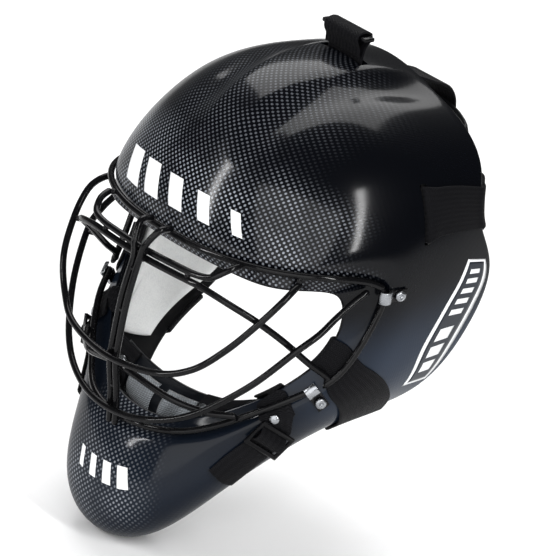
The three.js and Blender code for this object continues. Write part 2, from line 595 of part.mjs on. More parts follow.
add('crown_strap', cutFrom(crownStrap(), [rivetBore(plateFrame(...CROWN_RIVET))]), BLACK_FABRIC());

const SLIDER = { length: 40, depth: 8, height: 2.6 };
const slider = () => {
  const bar = new THREE.BoxGeometry(SLIDER.length, SLIDER.depth, SLIDER.height);
  return placed(bar, new THREE.Matrix4().makeTranslation(0, CROWN_SLOT_Y, SLIDER_TOP - SLIDER.height / 2));
};
add('crown_slider', slider(), BLACK_PLASTIC());

// ---- chin cup and its pad ----
// The middle section of the cup, from its front upper edge down and back under the chin, as [y, z].
const CUP_MIDDLE = [[-103, -83], [-112, -88], [-118, -96], [-118.5, -106], [-112, -114], [-99, -119], [-82, -120]];
const CUP_SIDE = [[-102, -76], [-107, -81], [-110.5, -87], [-110, -94], [-104, -100], [-93, -104], [-80, -104]];
const CUP = { halfWidth: 48, thickness: 2.4, padThickness: 7, padGap: 1.2, padInset: 0.6 };
const cupCurve = (half) => {
  const side = half * half;
  const points = CUP_MIDDLE.map(([y, z], i) => new THREE.Vector3(0, lerp(y, CUP_SIDE[i][0], side),
    lerp(z, CUP_SIDE[i][1], side)));
  return new THREE.CatmullRomCurve3(points);
};
// s runs across the cup from -1 to 1, t from its front edge to its rear edge.
const cupPoint = (s, t, depth) => {
  const curve = cupCurve(s);
  const along = curve.getTangentAt(t);
  const inward = new THREE.Vector3(0, -along.z, along.y);
  const point = curve.getPointAt(t).addScaledVector(inward, depth);
  return point.setX(s * CUP.halfWidth);
};
const cupSheet = (columns, rows, from, thickness) => thickSheet(
  (s, t, side) => cupPoint(s, t, from + side * thickness),
  columns,
  rows,
);
// Where the strap is riveted to the cup, as a place s, t on it; z of the frame looks out of the cup.
const CUP_RIVET = [0.8, 0.22];
const cupFrame = (s, t) => {
  const seat = cupPoint(s, t, 0);
  const out = cupPoint(s, t, -1).sub(seat).normalize();
  const x = new THREE.Vector3(1, 0, 0);
  return new THREE.Matrix4().makeBasis(x, out.clone().cross(x), out).setPosition(seat);
};
const cupBore = () => placed(boreAlongZ(RIVET.shank + GAP, RIVET.boreLength), cupFrame(...CUP_RIVET));
const chinCup = () => {
  const sheet = cupSheet(range(-1, 1, 12), range(0, 1, 9), 0, CUP.thickness);
  return cutFrom(sheet, [cupBore(), mirrorX(cupBore())]);
};
add('chin_cup', chinCup(), BLACK_PLASTIC());
const cupPad = () => cupSheet(range(-CUP.padInset, CUP.padInset, 10), range(0.06, 0.94, 8), CUP.thickness + CUP.padGap,
  CUP.padThickness);
add('chin_cup_pad', cupPad(), FOAM());

// ---- chin straps ----
// A path on the shell through [u, v] places, measured in millimetres from its first place.
const shellPath = (places) => {
  const samples = [];
  const pieces = 24;
  for (let i = 0; i < places.length - 1; i += 1) {
    for (let k = 0; k < pieces; k += 1) samples.push(between(places[i], places[i + 1], k / pieces));
  }
  samples.push(places[places.length - 1]);
  const points = samples.map(([u, v]) => offsetSkin(u, v, 0));
  const reached = [0];
  for (let i = 1; i < points.length; i += 1) reached.push(reached[i - 1] + points[i].distanceTo(points[i - 1]));
  const at = (distance) => {
    const i = Math.max(1, reached.findIndex((r) => r >= distance));
    return between(samples[i - 1], samples[i], (distance - reached[i - 1]) / (reached[i] - reached[i - 1]));
  };
  return { at, length: reached[reached.length - 1] };
};
// A station square to a shell path, following the shell across the strap.
const squareStation = (path, distance, width, lift) => {
  const [u, v] = path.at(distance);
  const step = 0.02;
  const alongU = baseSkin(u + step, v).sub(baseSkin(u - step, v)).divideScalar(2 * step);
  const alongV = baseSkin(u, v + step).sub(baseSkin(u, v - step)).divideScalar(2 * step);
  const reach = 1.5;
  const ends = [Math.max(0, distance - reach), Math.min(path.length, distance + reach)];
  const [before, after] = ends.map((d) => offsetSkin(...path.at(d), 0));
  const normal = surfaceNormal(baseSkin, u, v, OFFSET_REACH);
  const side = normal.clone().cross(after.sub(before)).normalize();
  const [uu, uv, vv] = [alongU.dot(alongU), alongU.dot(alongV), alongV.dot(alongV)];
  const [su, sv] = [side.dot(alongU), side.dot(alongV)];
  const scale = uu * vv - uv * uv;
  const [du, dv] = [(su * vv - sv * uv) / scale, (sv * uu - su * uv) / scale];
  return acrossStrap.map((s) => {
    const off = (s - 0.5) * width;
    const place = [u + du * off, v + dv * off];
    return { point: offsetSkin(...place, -lift), out: surfaceNormal(baseSkin, ...place, OFFSET_REACH) };
  });
};

// Front strap: from the cup wing over the opening edge, through the buckle, its tail lying on the outer jaw.
const FRONT_PATH = shellPath([[7.9, 6.95], [7.94, 5.9], [8.04, 4.8], [8.18, 3.85], [8.55, 3.1], [9, 2.5]]);
const BUCKLE = { at: 29, length: 19, width: 26, bar: 3, middleBar: 4, thickness: 2, height: 2.7 };
const buckleFrame = (lift) => {
  const skinAt = (distance) => offsetSkin(...FRONT_PATH.at(distance), 0);
  const ahead = skinAt(BUCKLE.at + 2).sub(skinAt(BUCKLE.at - 2));
  return frameOn(...FRONT_PATH.at(BUCKLE.at), lift, ahead);
};

// The strap lies flat under the end bars of the buckle and rises over its middle bar.
const buckleStation = (x) => {
  const inner = BUCKLE.middleBar / 2 + 0.4;
  const high = BUCKLE.height + BUCKLE.thickness + 0.5;
  const lift = Math.abs(x) > inner + 0.1 ? WEBBING_LIFT : high;
  const frame = buckleFrame(lift);
  const out = new THREE.Vector3(0, 0, 1).transformDirection(frame);
  return acrossStrap.map((s) => ({
    point: new THREE.Vector3(x, (s - 0.5) * CHIN_WEBBING_WIDTH, 0).applyMatrix4(frame),
    out,
  }));
};

const CUP_STRAP_LIFT = 1;
// Stations on the outside of the cup between two places t across it; the strap's outer face rests on the cup.
const onCup = (s, tA, tB) => acrossStrap.map((w) => {
  const t = lerp(tA, tB, w);
  const point = cupPoint(s, t, -CUP_STRAP_LIFT - WEBBING_THICKNESS);
  return { point, out: cupPoint(s, t, 0).sub(point).normalize() };
});

const frontStrap = () => {
  const inner = BUCKLE.middleBar / 2 + 0.4;
  const outer = BUCKLE.length / 2 - BUCKLE.bar - 0.3;
  const lying = (distances) => distances.map((d) => squareStation(FRONT_PATH, d, CHIN_WEBBING_WIDTH,
    WEBBING_LIFT + (d < 4 ? 0.7 : 0.4)));
  const past = BUCKLE.at + 15;
  return strap([
    ...[0.66, 0.8, 0.93, 1.07].map((s) => onCup(s, 0.03, 0.42)),
    ...roundEdge(7.6, 8.16, LAST_ROW, [160, 120, 85, 50]),
    ...lying([3, 5.5, 8, 10.5, 13, 15.5]),
    ...[-outer - 2, -outer, -inner, inner, outer, outer + 2].map(buckleStation),
    ...lying([past, lerp(past, FRONT_PATH.length, 0.5), FRONT_PATH.length]),
  ]);
};
addPair('chin_front_strap', cutFrom(frontStrap(), [jawBore(), cupBore()]), BLACK_FABRIC);
const jawRivet = () => placed(
  rivet(overStrap(WEBBING_LIFT) + 0.8, SHELL_THICKNESS + 1.4, RIVET.smallHead),
  jawFrame(),
);
addPair('jaw_rivet', jawRivet(), STEEL);
const cupRivet = () => placed(rivet(overStrap(CUP_STRAP_LIFT) + 1.3, CUP.thickness + 2), cupFrame(...CUP_RIVET));
addPair('cup_front_rivet', cupRivet(), STEEL);

const buckle = () => {
  const slotLength = (BUCKLE.length - 2 * BUCKLE.bar - BUCKLE.middleBar) / 2;
  const slot = (side) => tidy(new THREE.BoxGeometry(slotLength, BUCKLE.width - 4.4, 10)
    .translate((side * (slotLength + BUCKLE.middleBar)) / 2, 0, 0));
  const plate = tidy(new THREE.BoxGeometry(BUCKLE.length, BUCKLE.width, BUCKLE.thickness));
  return placed(cutFrom(plate, [slot(-1), slot(1)]), buckleFrame(BUCKLE.height + BUCKLE.thickness / 2));
};
addPair('chin_buckle', buckle(), BLACK_PLASTIC);

// Jaw wrap: a band round the lower jaw of the shell, over the opening edge, down the outside and round the rim.
const WRAP_TOP = [5.75, 6.8];
const WRAP_LOW = [7.4, 8];
const jawWrap = () => {
  const outside = [0.9, 0.78, 0.66, 0.54, 0.42, 0.3, 0.18, 0.07].map((t) => {
    const v = t * LAST_ROW;
    const [from, to] = between(WRAP_LOW, WRAP_TOP, t);
    return onShell([from, v], [to, v], WEBBING_LIFT + 0.15);
  });
  return strap([
    ...roundEdge(...WRAP_TOP, LAST_ROW, [170, 130, 90, 45]),
    ...outside,
    ...roundEdge(...WRAP_LOW, 0, [20, 60, 100, 140, 170]),
  ]);
};
addPair('jaw_wrap', jawWrap(), BLACK_FABRIC);

export default group;
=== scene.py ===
"""Looks of the goalkeeper mask: carbon shell, coated wire cage, foam, webbing and steel fittings.
Lengths in the helpers below are millimetres, as in the CAD; meshes are made in metres."""
import math
from contextlib import contextmanager

import bmesh
import bpy
import numpy as np
from mathutils import Matrix, Vector


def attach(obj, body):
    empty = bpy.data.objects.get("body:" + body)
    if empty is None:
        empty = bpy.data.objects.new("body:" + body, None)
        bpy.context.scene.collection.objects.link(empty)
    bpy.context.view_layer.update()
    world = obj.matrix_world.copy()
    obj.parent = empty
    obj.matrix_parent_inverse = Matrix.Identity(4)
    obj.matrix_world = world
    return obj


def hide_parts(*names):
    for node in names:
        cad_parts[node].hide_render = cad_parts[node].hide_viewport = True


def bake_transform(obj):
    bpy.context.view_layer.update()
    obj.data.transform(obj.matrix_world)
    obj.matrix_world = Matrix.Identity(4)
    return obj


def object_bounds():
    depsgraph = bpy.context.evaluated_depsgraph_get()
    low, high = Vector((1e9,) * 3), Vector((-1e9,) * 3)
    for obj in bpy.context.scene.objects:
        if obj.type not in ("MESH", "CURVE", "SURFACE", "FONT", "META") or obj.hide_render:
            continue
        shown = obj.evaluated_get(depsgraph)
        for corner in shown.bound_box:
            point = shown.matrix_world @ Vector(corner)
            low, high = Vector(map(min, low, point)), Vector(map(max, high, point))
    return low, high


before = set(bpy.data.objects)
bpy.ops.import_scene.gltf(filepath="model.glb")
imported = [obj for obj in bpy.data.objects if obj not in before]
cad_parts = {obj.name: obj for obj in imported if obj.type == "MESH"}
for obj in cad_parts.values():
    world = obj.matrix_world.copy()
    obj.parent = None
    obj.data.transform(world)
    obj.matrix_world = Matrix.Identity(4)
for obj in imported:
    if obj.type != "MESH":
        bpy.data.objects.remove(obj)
cad_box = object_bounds()

MM = 0.001
SHELL, PLATE = "shell_assembly", "back_plate_assembly"
CUP, SLIDER = "chin_cup_assembly", "crown_slider_bar"

# ---- driving dimensions, the same as the CAD's ----
SHELL_THICKNESS = 3.2
WIRE_RADIUS = 2.1
BROW_WIRE_LIFT = 2.9
JAW_WIRE_LIFT = 5.2
BROW_WIRE_V = 5.6
JAW_WIRE_V = 5.75
WEBBING_LIFT = 0.6
WEBBING_THICKNESS = 1.6
CROWN_SLOT_Y = -10
CROWN_STRAP_WIDTH = 34

# ---- the shell's surface ----
OFFSET_REACH = 0.35
FINE_REACH = 0.05

# Rings of control points of the shell from its rim to the face opening, top centre to chin centre.
RIM = [(0, 26, 120), (39, 27, 111), (77, 29, 97), (102, 25, 78), (110, 14, 50), (109, 43, 18),
       (102, 36, -27), (94, 12, -73), (77, -51, -86), (51, -92, -130), (28, -111, -168), (0, -113, -178)]
AFT = [(0, -22, 123), (40, -18, 116), (78, -12, 98), (103, -5, 78), (113, 2, 48), (112, 20, 13),
       (106, 12, -25), (100, -6, -66), (85, -60, -86), (60, -104, -130), (34, -132, -175), (0, -141, -185)]
MID = [(0, -66, 117), (41, -60, 111), (79, -47, 92), (104, -29, 72), (114, -14, 44), (113, 2, 9),
       (109, -8, -25), (105, -24, -61), (90, -72, -83), (64, -115, -124), (38, -150, -168), (0, -158, -176)]
FORE = [(0, -104, 95), (41, -97, 90), (77, -81, 75), (104, -53, 59), (114, -28, 39), (113, -14, 6),
        (110, -26, -25), (107, -40, -57), (92, -83, -78), (64, -120, -117), (39, -155, -149), (0, -164, -154)]
BROW = [(0, -127, 62), (41, -121, 59), (77, -102, 51), (104, -74, 44), (114, -38, 32), (113, -31, 1),
        (110, -43, -26), (107, -56, -54), (91, -93, -74), (59, -125, -109), (36, -150, -125), (0, -158, -129)]
CREASE = [(0, -135, 24), (38, -132, 23), (78, -115, 24), (101, -88, 27), (113, -42, 24), (110, -48, -3),
          (107, -57, -28), (102, -68, -52), (86, -101, -71), (55, -125, -98), (33, -145, -105),
          (0, -152, -107)]
STEP = [(0, -129, 20), (37, -127, 19), (76, -112, 20), (97, -86, 22), (107, -46, 19), (105, -51, -4),
        (102, -60, -28), (97, -71, -48), (82, -99, -68), (53, -120, -95), (32, -138, -102), (0, -145, -104)]
EDGE = [(0, -124, 10), (37, -122, 10), (74, -116, 11), (93, -95, 13), (97, -71, 10), (95, -64, -9),
        (94, -68, -26), (90, -78, -43), (75, -99, -65), (47, -117, -86), (29, -129, -95), (0, -134, -97)]


def close_ring(half):
    mirrored = [(-x, y, z) for x, y, z in reversed(half[1:-1])]
    return [*half, *mirrored]


RINGS = np.array([close_ring(r) for r in (RIM, AFT, MID, FORE, BROW, CREASE, STEP, EDGE)], float)
LAST_ROW = len(RINGS) - 1
STATIONS = RINGS.shape[1]
NET = np.concatenate([2 * RINGS[:1] - RINGS[1:2], RINGS, 2 * RINGS[-1:] - RINGS[-2:-1]])


def blend_weights(t):
    """Weights of the four control points that shape a uniform cubic B-spline at share t of a span."""
    middle = 3 * t ** 3 - 6 * t ** 2 + 4, -3 * t ** 3 + 3 * t ** 2 + 3 * t + 1
    return np.stack([(1 - t) ** 3, *middle, t ** 3]) / 6


def net_surface(u, v):
    """Surface points for arrays u (stations round the face) and v (rings from rim to opening)."""
    row = np.clip(np.floor(v).astype(int), 0, LAST_ROW - 1)
    column = np.floor(u).astype(int)
    across, around = blend_weights(v - row), blend_weights(u - column)
    total = np.zeros(u.shape + (3,))
    for i in range(4):
        for j in range(4):
            points = NET[row + i, (column + j - 1) % STATIONS]
            total += (across[i] * around[j])[..., None] * points
    return total


def base_skin(u, v):
    """The surface without its relief; past its rim or opening it goes straight on."""
    u, v = np.broadcast_arrays(np.asarray(u, float), np.asarray(v, float))
    inside = np.clip(v, 0, LAST_ROW)
    point = net_surface(u, inside)
    step = np.where(v > inside, -FINE_REACH, FINE_REACH)
    back = net_surface(u, inside + step)
    return point + (point - back) * (np.abs(v - inside) / FINE_REACH)[..., None]


def unit(vectors):
    return vectors / np.maximum(np.linalg.norm(vectors, axis=-1, keepdims=True), 1e-9)


def slopes(u, v, reach):
    """How far the surface goes from reach before a place to reach after it, along u and along v."""
    along_u = base_skin(u + reach, v) - base_skin(u - reach, v)
    along_v = base_skin(u, v + reach) - base_skin(u, v - reach)
    return along_u, along_v


def surface_normal(u, v, reach=OFFSET_REACH):
    along_u, along_v = slopes(np.asarray(u, float), np.asarray(v, float), reach)
    return unit(np.cross(along_v, along_u))


def smoothstep(x, low, high):
    t = np.clip((x - low) / (high - low), 0, 1)
    return t * t * (3 - 2 * t)


def crown_relief(p):
    """Height of the crown band between its two ridges, less the valley beside each."""
    x, y, z = p[..., 0], p[..., 1], p[..., 2]
    along = smoothstep(y, -120, -82) * (1 - smoothstep(y, -8, 37)) * smoothstep(z, 55, 80)
    beyond = np.abs(x) - (10 + 0.13 * (y + 112))
    band = 2.6 * (1 - smoothstep(beyond, -1, 7))
    valley = 3.2 * np.exp(-(((beyond - 17) / 10.2) ** 2))
    return along * (band - valley)


def skin(u, v):
    point = base_skin(u, v)
    return point + surface_normal(u, v, FINE_REACH) * crown_relief(point)[..., None]


def offset_skin(u, v, depth):
    """Surface point moved inwards by depth, outwards where it is negative."""
    return skin(u, v) - surface_normal(u, v) * np.asarray(depth, float)[..., None]


# ---- meshes ----
def linked(name, data):
    obj = bpy.data.objects.new(name, data)
    bpy.context.scene.collection.objects.link(obj)
    return obj


@contextmanager
def editing(mesh):
    work = bmesh.new()
    work.from_mesh(mesh)
    yield work
    work.to_mesh(mesh)
    work.free()


def make_mesh(name, points, faces, uvs, material):
    """A smooth mesh from points in millimetres; uvs is None or has a pair for each corner of each face."""
    mesh = bpy.data.meshes.new(name)
    mesh.from_pydata((np.asarray(points) * MM).tolist(), [], faces)
    if uvs is not None:
        layer = mesh.uv_layers.new(name="UVMap")
        layer.data.foreach_set("uv", np.asarray(uvs, np.float32).ravel())
    mesh.update()
    face_out(mesh)
    mesh.shade_smooth()
    mesh.materials.append(material)
    return linked(name, mesh)


def face_out(mesh):
    with editing(mesh) as work:
        if work.calc_volume(signed=True) < 0:
            bmesh.ops.reverse_faces(work, faces=work.faces)


def distances(points, axis=0):
    """How far each point of a grid has come along its row, from 0."""
    steps = np.linalg.norm(np.diff(points, axis=axis), axis=-1)
    return np.insert(np.cumsum(steps, axis=axis), 0, 0, axis=axis)


def read_at(places, reached, rows):
    """The columns of rows at some places, where reached says how far along each row is."""
    return np.stack([np.interp(places, reached, column) for column in rows.T], axis=-1)


def closed(grid, axis):
    """The grid with its first row or column repeated at its end."""
    return np.concatenate([grid, grid.take([0], axis)], axis)


def cell_corners(grid):
    """What the grid holds at the four corners of each cell, in order round the cell."""
    return np.stack([grid[:-1, :-1], grid[1:, :-1], grid[1:, 1:], grid[:-1, 1:]], axis=2)


def loop_grid(name, rings, uv, material):
    """Skin over rings of points: rings[i][j] with j going round a closed section. Each end gets a cap."""
    count, around = rings.shape[:2]
    numbers = np.arange(count * around).reshape(count, around)
    faces = cell_corners(closed(numbers, 1)).reshape(-1, 4).tolist()
    faces += [numbers[0].tolist(), numbers[-1, ::-1].tolist()]
    uvs = np.concatenate([cell_corners(uv).reshape(-1, 2), np.repeat(uv[[0, -1], 0], around, axis=0)])
    return make_mesh(name, rings.reshape(-1, 3), faces, uvs, material)


WIRE_SIDES = 20
SIDE_HINT = (0.31, 0.27, 0.91)


def smooth_line(points, step):
    """Catmull-Rom curve through the points, resampled about every step millimetres."""
    points = np.asarray(points, float)
    padded = np.concatenate([2 * points[:1] - points[1:2], points, 2 * points[-1:] - points[-2:-1]])
    out = []
    for i in range(len(points) - 1):
        p0, p1, p2, p3 = padded[i:i + 4]
        count = max(2, int(np.linalg.norm((p2 - p1)[:3]) / step))
        t = np.linspace(0, 1, count, endpoint=False)[:, None]
        out.append(0.5 * (2 * p1 + (p2 - p0) * t + (2 * p0 - 5 * p1 + 4 * p2 - p3) * t ** 2
                          + (3 * p1 - 3 * p2 + p3 - p0) * t ** 3))
    return np.concatenate([*out, points[-1:]])


def tube(name, points, radius, material, step):
    """A wire along the points with rounded ends."""
    line = smooth_line(points, step)
    along = unit(np.gradient(line, axis=0))
    side = unit(np.cross(along[0], SIDE_HINT))
    travelled = distances(line)
    angles = np.linspace(0, 2 * math.pi, WIRE_SIDES, endpoint=False)
    rounding = [(radius * math.cos(a), radius * math.sin(a)) for a in np.radians((30, 55, 80))]
    sections = [(0, size, -push) for size, push in reversed(rounding)]
    sections += [(i, radius, 0) for i in range(len(line))]
    sections += [(len(line) - 1, size, push) for size, push in rounding]
    rings, uvs = [], []
    for i, size, push in sections:
        side = unit(side - along[i] * (side @ along[i]))
        up = np.cross(along[i], side)
        centre = line[i] + along[i] * push
        rings.append(centre + size * (np.cos(angles)[:, None] * side + np.sin(angles)[:, None] * up))
        uvs.append([(s / WIRE_SIDES * 2 * math.pi * radius, travelled[i]) for s in range(WIRE_SIDES + 1)])
    return loop_grid(name, np.array(rings), np.array(uvs) * MM, material)


# ---- shell ----
COLUMNS = 220
OUTER_ROWS = np.concatenate([np.linspace(0, 4, 36, endpoint=False), np.linspace(4, LAST_ROW, 48)])
INNER_ROWS = np.linspace(LAST_ROW, 0, 40)
EDGE_BEND = (20, 45, 70, 90, 110, 135, 160)


def edge_turn(u, v, angles, lift):
    """Points and looks round the edge of the shell at v = 0 or the last row, one pair for each angle."""
    out = surface_normal(u, v)
    inner = 0.1 if v == 0 else v - 0.1
    away = unit(base_skin(u, v) - base_skin(u, inner))
    middle = offset_skin(u, np.full_like(u, v), SHELL_THICKNESS / 2)
    rows = []
    for angle in np.radians(angles):
        look = out * math.cos(angle) + away * math.sin(angle)
        rows.append((middle + look * (SHELL_THICKNESS / 2 + lift), look))
    return rows


def build_shell():
    u = np.arange(COLUMNS) * STATIONS / COLUMNS
    outer = offset_skin(*np.meshgrid(u, OUTER_ROWS, indexing="ij"), 0)
    inner = offset_skin(*np.meshgrid(u, INNER_ROWS, indexing="ij"), SHELL_THICKNESS)
    opening = np.stack([p for p, _ in edge_turn(u, LAST_ROW, EDGE_BEND, 0)], axis=1)
    rim = np.stack([p for p, _ in edge_turn(u, 0, EDGE_BEND[::-1], 0)], axis=1)
    rings = np.concatenate([outer, opening, inner, rim], axis=1)
    numbers = np.arange(rings[..., 0].size).reshape(rings.shape[:2])
    faces = cell_corners(closed(closed(numbers, 0), 1)).reshape(-1, 4).tolist()
    obj = make_mesh("carbon_shell", rings.reshape(-1, 3), faces, shell_uvs(rings), CARBON)
    paint_shell(obj, u, rings.shape[1])
    return obj


def shell_uvs(rings):
    """Distances round the shell, from its top in the upper half and its chin in the lower, and across it."""
    travelled = distances(closed(rings, 0), 0)
    half = travelled[-1:] / 2
    from_chin = travelled - half
    from_top = np.where(travelled > half, travelled - 2 * half, travelled)
    climbs = distances(closed(rings, 1), 1)
    edge = len(OUTER_ROWS) - 1
    climbs = closed(climbs - climbs[:, edge:edge + 1], 0)
    pairs = [np.stack([closed(across, 1), climbs], axis=-1) for across in (from_top, from_chin)]
    column = np.arange(COLUMNS)
    in_upper_half = np.minimum(column, COLUMNS - 1 - column) < COLUMNS / 4
    return np.where(in_upper_half[:, None, None, None], *map(cell_corners, pairs)).reshape(-1, 2) * MM


def paint_shell(obj, u, around):
    """Point values for the material: how strongly the weave's painted glints show, how much bluer the surface
    is, and the inside.
    """
    grid_u, grid_v = np.meshgrid(u, OUTER_ROWS, indexing="ij")
    fold = np.minimum(grid_u, STATIONS - grid_u)
    # Where the weave's painted glints show: strongest on the brow, less on the crown, chin front and the
    # flange round the opening, where highlights fall.
    brow = smoothstep(grid_v, 3.0, 3.9) * (1 - smoothstep(fold, 2.2, 3.2))
    crown = 0.3 * (1 - smoothstep(fold, 0.6, 2.0)) * smoothstep(grid_v, 0.4, 1.4)
    chin = 0.8 * smoothstep(fold, 9.7, 10.5) * smoothstep(grid_v, 1.5, 3.2)
    upper_or_chin = np.maximum(1 - smoothstep(fold, 3.0, 4.0), smoothstep(fold, 9.6, 10.4))
    flange = 0.5 * smoothstep(grid_v, 4.6, 5.4) * upper_or_chin
    # Bluer towards the sides, less at the jaw and towards the face opening.
    side = smoothstep(fold, 4.7, 6.4) * (1 - 0.68 * smoothstep(fold, 7, 8.2))
    values = {name: np.zeros((len(u), around), np.float32) for name in ("weave", "blue", "inside")}
    outer = len(OUTER_ROWS)
    inner = outer + len(EDGE_BEND) - 1
    values["weave"][:, :outer] = np.maximum.reduce([brow, crown, chin, flange])
    values["blue"][:, :outer] = side * (1 - 0.4 * smoothstep(grid_v, 3, 5))
    values["inside"][:, inner:inner + len(INNER_ROWS) + 2] = 1
    for name, value in values.items():
        attribute = obj.data.attributes.new(name, "FLOAT", "POINT")
        attribute.data.foreach_set("value", value.ravel())


# ---- frames on the shell ----
class Frame:
    """Axes x, y, z and a place, all in millimetres."""

    def __init__(self, x, y, z, place):
        self.axes = np.stack([x, y, z])
        self.place = np.asarray(place, float)

    def at(self, points):
        return self.place + np.asarray(points, float) @ self.axes

    def turn(self, directions):
        return np.asarray(directions, float) @ self.axes

    def back(self, points):
        return (np.asarray(points, float) - self.place) @ self.axes.T


def frame_on(u, v, lift, direction):
    z = surface_normal(u, v)
    direction = np.asarray(direction, float)
    x = unit(direction - z * (direction @ z))
    return Frame(x, np.cross(z, x), z, offset_skin(u, v, -lift))


def recess_wire(u, v=BROW_WIRE_V):
    u = np.asarray(u, float)
    lift = BROW_WIRE_LIFT + (JAW_WIRE_LIFT - BROW_WIRE_LIFT) * smoothstep(np.abs(u), 4.7, 5.6)
    return offset_skin(u, v, -lift)


# ---- small turned and rounded pieces ----
ON_AXIS = 1e-6


def lathe(name, profile, place, material, segments=40):
    """A turned piece: its profile goes from the axis round to the axis as (radius, height along z)."""
    angles = np.linspace(0, 2 * math.pi, segments, endpoint=False)
    points, faces, rows = [], [], []
    for radius, height in profile:
        if radius < ON_AXIS:
            rows.append([len(points)])
            points.append((0, 0, height))
        else:
            rows.append(list(range(len(points), len(points) + segments)))
            points += [(radius * math.cos(a), radius * math.sin(a), height) for a in angles]
    for low, high in zip(rows, rows[1:]):
        for j in range(segments):
            k = (j + 1) % segments
            around = low[j % len(low)], low[k % len(low)], high[k % len(high)], high[j % len(high)]
            corners = list(dict.fromkeys(around))
            if len(corners) > 2:
                faces.append(corners)
    return make_mesh(name, place.at(points), faces, None, material)


def refined_copy(node, material, bevel, segments=2):
    """A copy of a small CAD piece with rounded edges, to stand for it."""
    obj = linked("fine_" + node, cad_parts[node].data.copy())
    with editing(obj.data) as work:
        bmesh.ops.remove_doubles(work, verts=work.verts, dist=2e-6)
        bmesh.ops.dissolve_limit(work, angle_limit=math.radians(3), verts=work.verts, edges=work.edges)
    rounder = obj.modifiers.new("round", "BEVEL")
    rounder.width = bevel * MM
    rounder.segments = segments
    rounder.limit_method = "ANGLE"
    rounder.angle_limit = math.radians(30)
    apply_modifiers(obj)
    obj.data.materials.clear()
    obj.data.materials.append(material)
    obj.data.shade_smooth()
    obj.data.set_sharp_from_angle(angle=math.radians(50))
    return obj


def apply_modifiers(obj):
    bpy.context.view_layer.update()
    shown = obj.evaluated_get(bpy.context.evaluated_depsgraph_get())
    mesh = bpy.data.meshes.new_from_object(shown)
    obj.modifiers.clear()
    obj.data = mesh


def both(left):
    """A left piece and its mirror image on the right, each with its side."""
    right = linked(left.name.replace("left", "right"), left.data.copy())
    right.data.transform(Matrix.Scale(-1, 4, (1, 0, 0)))
    right.data.flip_normals()
    return ("left", left), ("right", right)


def settle(obj, body, slot_name, *nodes):
    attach(obj, body)
    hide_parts(*nodes)
    return obj


# ---- materials ----
OBJECT_COORDINATES = 3
MIX_COLOURS = (6, 7)
MIX_RESULT = 2
ATTRIBUTE_VALUE = 2


class Graph:
    """A material of nodes round one Principled shader, whose own sockets hold the uniform values."""

    def __init__(self, name, color, roughness, **values):
        self.material = bpy.data.materials.new(name)
        self.material.use_nodes = True
        self.tree = self.material.node_tree
        self.shader = self.tree.nodes["Principled BSDF"]
        self.shader.inputs["Base Color"].default_value = (*color, 1)
        self.shader.inputs["Roughness"].default_value = roughness
        for socket, value in values.items():
            self.shader.inputs[socket.replace("_", " ")].default_value = value

    def node(self, kind, inputs=(), output=0, **settings):
        node = self.tree.nodes.new(kind)
        for key, value in settings.items():
            setattr(node, key, value)
        for key, value in dict(inputs).items():
            self.feed(node.inputs[key], value)
        return node.outputs[output]

    def feed(self, socket, value):
        if isinstance(value, bpy.types.NodeSocket):
            self.tree.links.new(value, socket)
        else:
            socket.default_value = value

    def math(self, operation, a, b=0.0):
        return self.node("ShaderNodeMath", {0: a, 1: b}, operation=operation)

    def ease(self, value, low, high, start=0.0, end=1.0):
        limits = {"Value": value, "From Min": low, "From Max": high, "To Min": start, "To Max": end}
        return self.node("ShaderNodeMapRange", limits, interpolation_type="SMOOTHSTEP")

    def mix(self, factor, a, b):
        inputs = {0: factor}
        for socket, colour in zip(MIX_COLOURS, (a, b)):
            inputs[socket] = (*colour, 1) if isinstance(colour, tuple) else colour
        return self.node("ShaderNodeMix", inputs, MIX_RESULT, data_type="RGBA")

    def place(self):
        return self.node("ShaderNodeTexCoord", output=OBJECT_COORDINATES)

    def split(self, vector):
        """The three parts of a vector."""
        parts = self.tree.nodes.new("ShaderNodeSeparateXYZ")
        self.tree.links.new(vector, parts.inputs[0])
        return parts.outputs

    def uv(self, pitch_mm):
        """UV coordinates counted in steps of pitch_mm, as two numbers and as a vector."""
        layer = self.node("ShaderNodeUVMap", uv_map="UVMap")
        scaled = self.node("ShaderNodeVectorMath", {0: layer, "Scale": 1000 / pitch_mm}, operation="SCALE")
        return *self.split(scaled)[:2], scaled

    def noise(self, scale, detail=3.0, vector=None):
        vector = vector or self.place()
        return self.node("ShaderNodeTexNoise", {"Vector": vector, "Scale": scale, "Detail": detail})

    def cells(self, scale):
        return self.node("ShaderNodeTexVoronoi", {"Vector": self.place(), "Scale": scale})

    def wave(self, value):
        return self.math("SINE", self.math("MULTIPLY", value, math.pi))

    def attribute(self, name):
        return self.node("ShaderNodeAttribute", output=ATTRIBUTE_VALUE, attribute_name=name)

    def color(self, value):
        self.feed(self.shader.inputs["Base Color"], value)

    def roughness(self, value):
        self.feed(self.shader.inputs["Roughness"], value)

    def bump(self, height, depth_mm, strength=1.0, coat=False):
        inputs = {"Height": height, "Distance": depth_mm * MM, "Strength": strength}
        normal = self.node("ShaderNodeBump", inputs)
        self.feed(self.shader.inputs["Coat Normal" if coat else "Normal"], normal)


WEAVE_PITCH = 2.0


